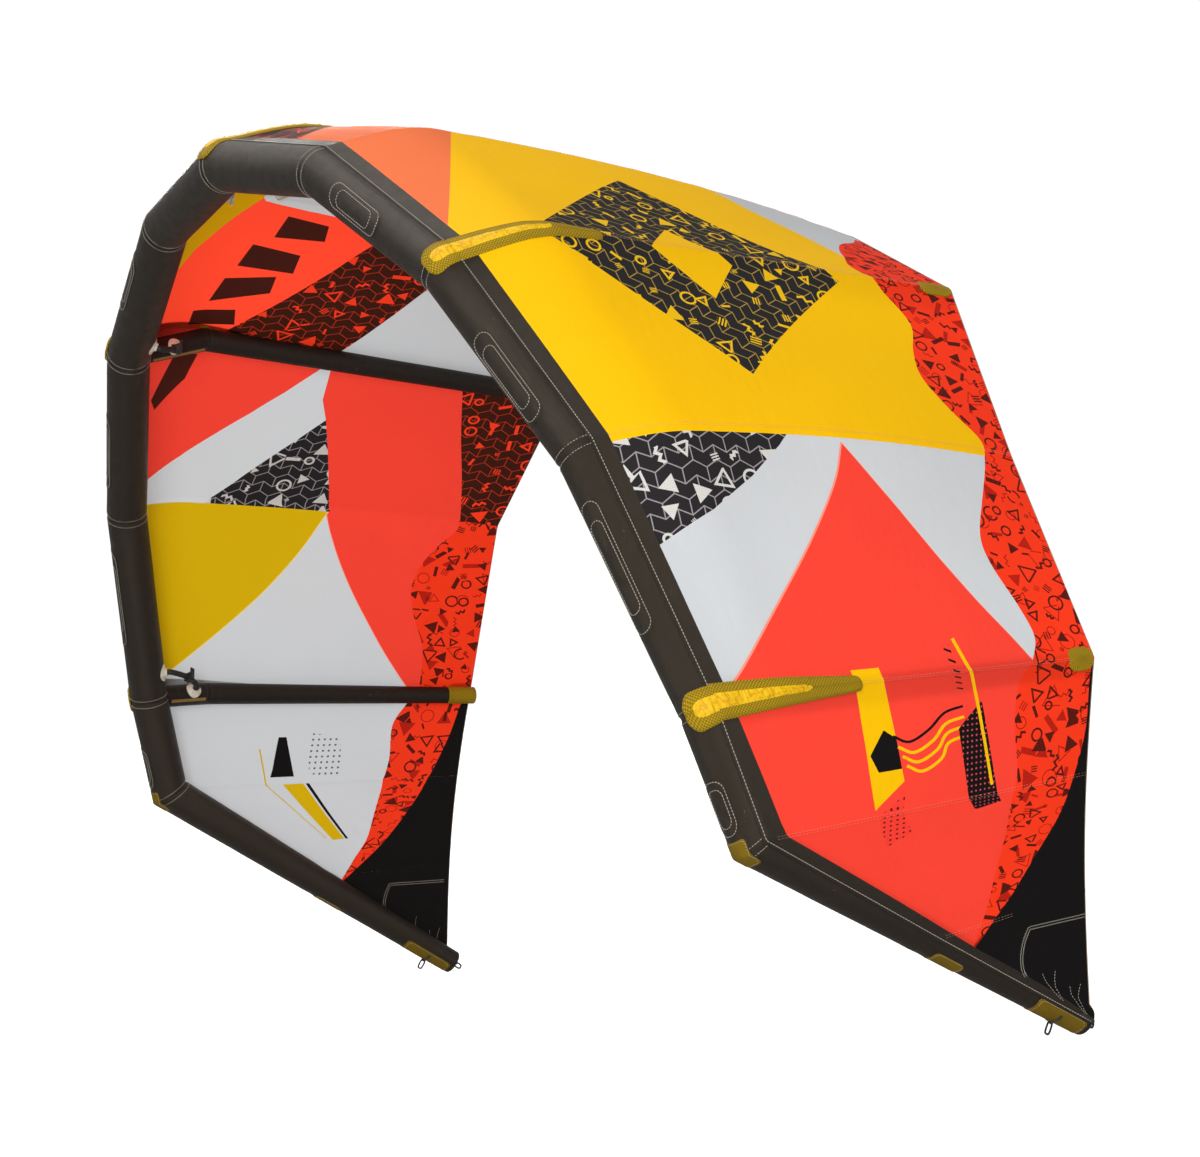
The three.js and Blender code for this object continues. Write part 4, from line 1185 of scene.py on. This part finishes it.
def make_strut(name):
    side, station, wide, _ = STRUTS[name]
    length = strut_length(name)
    start = tube_radius(station) * 0.8
    front, kink, rear, _ = strut_line(side, station)
    near = (kink - front).length
    stops = steps(start, near - 0.05, 0.03) + steps(near - 0.05, near + 0.05, 0.008)
    stops = sorted(set(stops + steps(near + 0.05, length, 0.04)))
    turns = around(40)

    def lift(d, a):
        keel = 0.0032 * exp(-((remainder(a, tau) / 0.1) ** 2)) if d > start + 0.12 else 0
        fold = 0.0022 * exp(-abs(d - near) / 0.04) * noise.noise(Vector((a * 2.2, d * 6, station)))
        return 0.0004 + keel + fold + 0.0004 * noise.noise(Vector((d * 5, cos(a) * 2, station)))

    shape = Shape()
    shape.grid([[strut(name, d, a, lift(d, a)) for a in turns] for d in stops], closed=True)
    shape.make(f"strut_casing_{name}", "strut_cloth", "strut_cloth")
    on_strut = lambda d, a, extra: strut(name, d, a, extra + 0.0006)
    sewing = Threads()
    for d in (near - 0.012, near + 0.012, start + 0.055):
        sewing.straight(on_strut, [(d, a) for a in steps(-pi, pi, 0.15)], 0.009, 0.0004, 0.0007)
    for a in (-0.2, 0.2):
        sewing.straight(on_strut, [(d, a) for d in steps(start + 0.1, length - 0.1, 0.05)], 0.011, 0.0004, 0.0006)
    sewing.make(f"strut_stitching_{name}", "dark_thread", "strut_cloth")
    film = Shape()
    inner = [d for d in stops if start + 0.045 < d < length - 0.015]
    film.capped([[strut(name, d, a, -0.0055) for a in turns[::2]] for d in inner])
    film.make(f"strut_bladder_{name}", "film", "bladder_film")
    # The cover over the strut's end: a sleeve with a hem and a folded, closed end.
    cover = Shape()
    hem = -COVER_LENGTH + 0.012
    profile = [(-COVER_LENGTH, 0.0006), (-COVER_LENGTH, 0.003), (hem, 0.0032), (hem + 0.002, 0.0022)]
    profile += [(x, 0.0023) for x in steps(-0.08, -0.012, 0.012)] + [(-0.005, 0.0026), (-0.001, 0.0016)]
    rows = [[strut(name, length + x, a, y) for a in turns] for x, y in profile]
    axis = (rear - kink).normalized()
    for share, out in ((0.93, 0.0015), (0.8, 0.0025), (0.5, 0.003)):
        rows.append([rear + (p - rear) * share + axis * out for p in rows[len(profile) - 1]])
    cover.grid(rows, closed=True)
    cover.fan(rows[-1], rear + axis * 0.003)
    cover.make(f"strut_end_cover_{name}", "olive", "olive_mesh")
    # A tab of the same cloth over the trailing edge, on the outside.
    tab = Shape()
    outside = lambda a, c, extra: canopy(side, beside(side, station, a), c, extra)
    patch(tab, outside, rounded(-0.042, 0.042, 0.93, 1.0, 0.03, 0.022, 6), 0.0034)
    tab.make(f"strut_end_tab_{name}", "olive", "olive_mesh")
    # A webbing strap from the leading edge along the strut's underside.
    strap = Shape()
    rows = []
    turn, reach = STRAPS[station]
    for d in steps(start + 0.02, start + reach, 0.01):
        rows.append([strut(name, d, turn + w / (wide / 2), h) for w, h in STRAP_SECTION])
    strap.grid(rows)
    strap.make(f"strut_strap_{name}", "ochre", "olive_mesh")


# ------------------------------------------------------------------ tongues

TONGUE_WRAP, TONGUE_LENGTH = 1.4, {0: 0.3, 2: 0.265, 4: 0.36}
TONGUE_NOSE = [0, 0.002, 0.006, 0.012, 0.02, 0.03, 0.042, 0.056]
TONGUE_TAIL = [0.955, 0.967, 0.977, 0.986, 0.993, 0.998, 1]
INSERT_START, INSERT_END = 0.05, 0.7


def over_outside(side, s, distance, lift):
    if s < 0:
        side, s = -side, -s
    if distance < 0:
        return tube(side, s, -distance / tube_radius(s), lift + 0.002)
    c = distance / (trail(side, s) - lead(side, s)).length
    return canopy(side, s, c, lift + 0.001 + max(0, canopy_lift(side, s, c)))


def round_end(share):
    """The height of a quarter circle at a share of its width."""
    return sqrt(max(0, 1 - max(0, 1 - share) ** 2))


def make_tongue(name):
    """A padded strip sewn over the strut's front: ribbed cloth with a crinkled bright insert."""
    side, station, *_ = STRUTS[name]
    length = (trail(side, station) - lead(side, station)).length
    front, rear = -TONGUE_WRAP * tube_radius(station), TONGUE_LENGTH[station] * length

    def half_width(t):
        nose, tail = round_end(t / 0.07), round_end((1 - t) / 0.03)
        return lerp(0.056, 0.023, t**1.4) * max(0.02, nose) * max(0.02, tail)

    def spot(t, share, lift):
        s = beside(side, station, share * half_width(t))
        return over_outside(side, s, lerp(front, rear, t), lift)

    def across(t, k):
        """Columns that keep to the insert's edge."""
        taper = 0.46 - 0.18 * max(0, (t - INSERT_START) / 0.6)
        end = max(0.0, min(1, (t - INSERT_START) / 0.06, (INSERT_END - t) / 0.05))
        inner = max(0.06, taper * sqrt(end * (2 - end)))
        return copysign(inner * abs(k) * 2 if abs(k) <= 0.5 else lerp(inner, 1, abs(k) * 2 - 1), k)

    def in_insert(t, k):
        return INSERT_START < t < INSERT_END and abs(k) < 0.5

    def lift_at(t, k):
        share = across(t, k)
        edge = min(1, (1 - abs(share)) / 0.16) * min(1, t / 0.012) * min(1, (1 - t) / 0.012)
        pad = 0.0058 * sqrt(max(0, edge * (2 - edge)))
        if in_insert(t, k):
            crease = noise.noise(Vector((t * 34, share * 3.4, station * 2 + side)))
            fine = noise.noise(Vector((t * 90, share * 9, 3 + side)))
            return pad - 0.0012 + 0.0085 * abs(crease) + 0.0026 * fine
        return pad - 0.0008 * exp(-((abs(k) - 0.5) / 0.06) ** 2)

    lines = TONGUE_NOSE + steps(0.07, 0.94, 0.0115) + TONGUE_TAIL
    shares = steps(-1, 1, 0.0834)
    shape = Shape()
    rows = [[spot(t, across(t, k), lift_at(t, k)) for k in shares] for t in lines]
    paint = lambda i, j: int(in_insert((lines[i] + lines[i + 1]) / 2, (shares[j] + shares[j + 1]) / 2))
    shape.grid(rows, paint)
    shape.grid([[spot(t, share, -0.0006) for share in (-1, -0.5, 0, 0.5, 1)] for t in lines[::-1]])
    tongue = shape.make(f"tongue_{name}", "olive insert", "tongue_yellow")
    sewing = Threads()
    surface = lambda t, share, lift: spot(t, share, lift_at(t, share) + 0.0004 + lift)
    for edge in (-0.82, 0.82):
        sewing.straight(surface, [(t, edge) for t in steps(0.03, 0.97, 0.04)], 0.009, 0.0004, 0.0007)
    sewing.make(f"tongue_stitching_{name}", "ochre", "tongue_yellow")


# ------------------------------------------------------------------ fittings

# Turned profiles: radius, height over the wall, and how far the step drapes over the tube.
# The radii of the port's flange are counted from the port's own radius.
PORT_FLANGE = ((0, 0.0002, 1), (0, 0.0016, 1), (-0.002, 0.0026, 1), (-0.009, 0.003, 1))
PORT_FLANGE += ((-0.010, 0.0044, 0.8), (-0.012, 0.0048, 0.7))
PORT_STEM = [(0.017, 0.005, 0.4), (0.0155, 0.0075, 0), (0.0148, 0.0125, 0), (0.0135, 0.0135, 0), (0.0125, 0.012, 0)]
VALVE_FLANGE = [(0.040, 0.0002, 1), (0.040, 0.002, 1), (0.038, 0.0034, 1), (0.031, 0.004, 1)]
VALVE_FLANGE += [(0.030, 0.0058, 0.7), (0.0265, 0.0062, 0.3), (0.0252, 0.009, 0)]
VALVE_MOUTH = [(0.0246, 0.0235, 0), (0.0238, 0.024, 0), (0.0125, 0.024, 0), (0.0105, 0.0225, 0), (0.010, 0.0065, 0)]
VALVE_STATION, CAP_FLOOR = 0.42, 0.0248
CAP = ((0.0245, 0), (0.0262, 0.0006), (0.0266, 0.0065), (0.0256, 0.0078), (0.021, 0.008))
CAP += ((0.020, 0.0066), (0.008, 0.0066), (0.0065, 0.0078), (0.003, 0.008))
RIBS, RIB_DEPTH = 18, 0.0006
# stations from the strut to its port on the tube, and metres along the strut to its other port
TUBE_PORT, STRUT_PORT = {0: 0.16, 2: -0.14, 4: -0.14}, 0.176
CLIP_LIFT = 0.011 + 0.003 + 0.0008 + 0.003  # hose, jaw, gap, and half of the lever
LEVER_HALF, LEVER_OVERHANG = 0.023, 0.0115


def on_tube_wall(side, s, inward, rear):
    """A seat on the tube, facing inwards and aft by two shares: centre, facing, axis, radius."""
    centre, axis = lead(side, s), segment_axis(side, s)
    chord = (trail(side, s) - centre).normalized()
    facing = outward(side, s) * -inward + chord * rear
    facing -= axis * facing.dot(axis)
    return centre, facing.normalized(), axis, tube_radius(s)


def on_strut_wall(name, distance):
    """A seat on the lower side of a strut."""
    side, station, wide, _ = STRUTS[name]
    front, kink, _, up = strut_line(side, station)
    axis = (kink - front).normalized()
    sideways = axis.cross(up).normalized()
    if (sideways.dot(lead(side, station + 0.1) - front) > 0) == (station > 0):
        sideways.negate()
    inwards = axis.cross(sideways).normalized()
    if inwards.dot(up) > 0:
        inwards.negate()
    facing = (sideways * 0.75 + inwards * 0.66).normalized()
    return front + axis * distance, facing, axis, wide / 2


def turned(shape, seat, profile, parts=40, ribs=0):
    """A turned form on a tube's wall, with ribs of a depth on its outside."""
    centre, facing, axis, radius = seat
    across = facing.cross(axis).normalized()
    rows = []
    for reach, height, drape in profile:
        row = []
        for turn in around(parts):
            r = reach + (ribs * (0.5 + 0.5 * cos(turn * RIBS)) if reach > 0.024 else 0)
            y = r * sin(turn)
            saddle = sqrt(max(0, radius**2 - y * y)) - radius
            row.append(centre + axis * (r * cos(turn)) + across * y + facing * (radius + height + drape * saddle))
        rows.append(row)
    shape.grid(rows, closed=True)
    shape.fan(rows[-1], middle_of(rows[-1]))


def soft_box(shape, centre, axes, size, bevel, paint=0):
    """A box with rounded edges, its faces gathered into shape."""
    work = bmesh.new()
    bmesh.ops.create_cube(work, size=1)
    for v in work.verts:
        v.co = Vector([a * b for a, b in zip(v.co, size)])
    bmesh.ops.bevel(work, geom=work.edges[:], offset=bevel, segments=3, affect="EDGES", profile=0.6)
    first = len(shape.points)
    work.verts.index_update()
    for v in work.verts:
        shape.points.append(centre + axes[0] * v.co.x + axes[1] * v.co.y + axes[2] * v.co.z)
    for face in work.faces:
        shape.faces.append(tuple(first + v.index for v in face.verts))
        shape.where.append(tuple((v.co.x + v.co.z, v.co.y + v.co.z) for v in face.verts))
        shape.paint.append(paint)
    work.free()


def make_hose(name):
    side, station, *_ = STRUTS[name]
    tube_seat = on_tube_wall(side, station + TUBE_PORT[station], 0.45, 0.89)
    strut_seat = on_strut_wall(name, STRUT_PORT)
    ports = Shape()
    for seat, size in ((tube_seat, 0.034), (strut_seat, 0.030)):
        turned(ports, seat, [(size + less, height, drape) for less, height, drape in PORT_FLANGE] + PORT_STEM)
    ports.make(f"hose_ports_{name}", "white_plastic", "valve_white")
    top = lambda seat, extra: seat[0] + seat[1] * (seat[3] + 0.008 + extra)
    bulge = (tube_seat[1] + strut_seat[1]).normalized()
    path = [top(tube_seat, -0.003), top(tube_seat, 0.022)]
    path.append((top(tube_seat, 0.03) + top(strut_seat, 0.03)) * 0.5 + bulge * 0.014)
    line = smooth(path + [top(strut_seat, 0.022), top(strut_seat, -0.003)], 16)
    side_way = (line[-1] - line[0]).cross(bulge).normalized()
    rows = []
    for i, here in enumerate(line):
        forward = (line[min(i + 1, len(line) - 1)] - line[max(i - 1, 0)]).normalized()
        up = side_way.cross(forward).normalized()
        size = 0.0108 + 0.0005 * cos(i * pi / 2)
        rows.append(ring(here, side_way * size, up * size, 20))
    hose = Shape()
    hose.grid(rows, closed=True)
    middle = line[32]
    run = (line[33] - line[31]).normalized()
    away = (bulge - run * bulge.dot(run)).normalized()
    across = away.cross(run)
    axes = (run, across, away)
    soft_box(hose, middle, axes, (0.024, 0.030, 0.028), 0.004, 1)
    for shift in (-0.0085, 0.0085):
        soft_box(hose, middle + run * shift, axes, (0.004, 0.0315, 0.0295), 0.0012, 1)
    soft_box(hose, middle + away * 0.0135 - across * 0.015, axes, (0.024, 0.005, 0.008), 0.0012, 1)
    hose.make(f"hose_{name}", "rubber clip_plastic", "hose_rubber")
    lever = Shape()
    seat = middle + away * CLIP_LIFT + across * (LEVER_HALF - LEVER_OVERHANG)
    soft_box(lever, seat, axes, (0.020, 0.046, 0.006), 0.0018)
    for k in range(5):
        grip = seat + across * (0.009 + k * 0.0027) + away * 0.0031
        soft_box(lever, grip, axes, (0.016, 0.0011, 0.0012), 0.0004)
    soft_box(lever, seat - across * 0.0195, axes, (0.022, 0.0062, 0.0066), 0.0026)
    lever.make(f"hose_clip_{name}", "clip_plastic", "clip_plastic", f"hose_clip_{name}_body")


def make_valve(name, seat):
    body = Shape()
    threads = []
    for h in (0.012, 0.0155, 0.019):
        threads += [(0.0248, h, 0), (0.0256, h + 0.0008, 0), (0.0248, h + 0.0018, 0)]
    turned(body, seat, VALVE_FLANGE + threads + VALVE_MOUTH, 48)
    body.make(f"{name}_body", "white_plastic", "valve_white")
    cap = Shape()
    turned(cap, seat, [(reach, CAP_FLOOR + height, 0) for reach, height in CAP], 90, RIB_DEPTH)
    centre, facing, axis, radius = seat
    sideways = axis.cross(facing).normalized()
    lug = centre + facing * (radius + CAP_FLOOR + 0.004) + sideways * 0.030
    soft_box(cap, lug, (axis, sideways, facing), (0.014, 0.010, 0.008), 0.0018)
    cap.make(f"{name}_cap", "white_plastic", "valve_white", f"{name}_cap_body")


# ------------------------------------------------------------------ line loops

FRONT_LOOP, LOOP_DROP = 0.110, 0.0472  # metres from the tip's end, and from the tube's axis
STRAP_PROFILE = ((1, 0), (0.85, 1), (-0.85, 1), (-1, 0), (-0.85, -1), (0.85, -1))


def squared(v):
    return copysign(abs(v) ** 0.6, v)


def make_line_loops(side_name, side):
    end, run, flat = lead(side, TIP), segment_axis(side, TIP), outward(side, TIP)
    flat = (flat - run * flat.dot(run)).normalized()
    down = run.cross(flat).normalized()
    if down.z > 0:
        down.negate()
    front = end - run * FRONT_LOOP
    for which, anchor, pointing in (("rear", end + run * 0.002, run), ("front", front + down * LOOP_DROP, down)):
        across = pointing.cross(flat).normalized()
        centre = anchor + pointing * 0.022
        shape = Shape()
        rows = []
        for k in range(49):
            x, y = squared(cos(tau * k / 48)), squared(sin(tau * k / 48))
            row = []
            for w in around(12):
                reach, thick = 0.0033 * cos(w), 0.0027 * sin(w)
                row.append(centre + pointing * (x * (0.0185 + reach)) + across * (y * (0.0085 + reach)) + flat * thick)
            rows.append(row)
        shape.grid(rows, closed=True)
        shape.make(f"line_loop_{which}_{side_name}", "webbing", "loop_webbing")
        # The strap through the loop, sewn down on both sides of the tube.
        if which == "front":
            reach = tube_radius(TIP - 0.174) + 0.0036
            root, half = front, [(reach * sin(a), reach * cos(a)) for a in steps(-0.95, -0.25, 0.1)]
            half += [(-0.0066, 0.0513), (-0.0046, 0.0536), (-0.0022, 0.0556)]
            middle = (0, 0.056)
        else:
            reach = tube_radius(TIP) + 0.0036
            root, half = end, [(-reach - 0.001, y) for y in steps(-0.05, -0.002, 0.012)]
            half += [(-0.0465, 0.0045), (-0.041, 0.0085), (-0.03, 0.0112), (-0.012, 0.0124)]
            middle = (0, 0.0128)
        path = half + [middle] + [(-x, y) for x, y in half[::-1]]
        strap, rows = Shape(), []
        for k, (x, y) in enumerate(path):
            (x0, y0), (x1, y1) = path[max(0, k - 1)], path[min(len(path) - 1, k + 1)]
            out = (flat * (y0 - y1) + pointing * (x1 - x0)).normalized()
            thick = 0.0009 if 0 < k < len(path) - 1 else 0.0002
            here = root + flat * x + pointing * y
            rows.append([here + across * (u * 0.0045) + out * (v * thick) for u, v in STRAP_PROFILE])
        strap.capped(rows)
        strap.make(f"line_loop_strap_{which}_{side_name}", "webbing", "loop_webbing")


# Sewing on the black corner of each tip.
TIP_EDGES = {1: spots("6.5,0.1 6.151,0.52 6.211,0.995"), -1: spots("6.391,0.215 6.161,0.48 6.231,0.955")}
TIP_ROWS = ("6.541,0.29 6.75,0.1", "6.561,0.455 6.77,0.1", "6.73,0.485 6.93,0.15", "6.76,0.74 6.94,0.16")


def make_tip_sewing(side_name, side):
    light = Threads()
    for face in (1, -1):
        surface = wrinkled(side, face)
        for offset in (-0.004, 0.004):
            light.zigzag(surface, TIP_EDGES[side], 0.005, 0.0014, 0.0014, 0.0006, offset)
        for line in TIP_ROWS:
            light.straight(surface, spots(line), 0.009, 0.0014, 0.0007)
    light.make(f"tip_stitching_{side_name}", "thread", "loop_webbing")


# ------------------------------------------------------------------ assembly

make_camera()
make_studio()
for side_name, side in SIDES.items():
    make_canopy(side_name, side)
    make_leading_edge(side_name, side)
    make_line_loops(side_name, side)
    make_tip_sewing(side_name, side)
make_leading_bladder()
for strut_name in STRUTS:
    make_strut(strut_name)
    make_tongue(strut_name)
    make_hose(strut_name)
make_valve("inflate_valve", on_tube_wall(-1, VALVE_STATION, 0, 1))
make_valve("dump_valve", on_tube_wall(1, VALVE_STATION, 0.7, 0.7))

FLOOR_GAP, FLOOR_HALF = 0.55, 60
floor_mesh = bpy.data.meshes.new("floor")
floor_z = cad_box[0].z - FLOOR_GAP
floor_corners = [(x * FLOOR_HALF, y * FLOOR_HALF) for x, y in ((-1, -1), (1, -1), (1, 1), (-1, 1))]
floor_mesh.from_pydata([(x, y, floor_z) for x, y in floor_corners], [], [(0, 1, 2, 3)])
floor_layer = floor_mesh.uv_layers.new(name="cloth")
floor_layer.data.foreach_set("uv", [v for corner in floor_corners for v in corner])
floor_mesh.materials.append(MATERIALS["floor"])
floor = bpy.data.objects.new("floor", floor_mesh)
bpy.context.scene.collection.objects.link(floor)
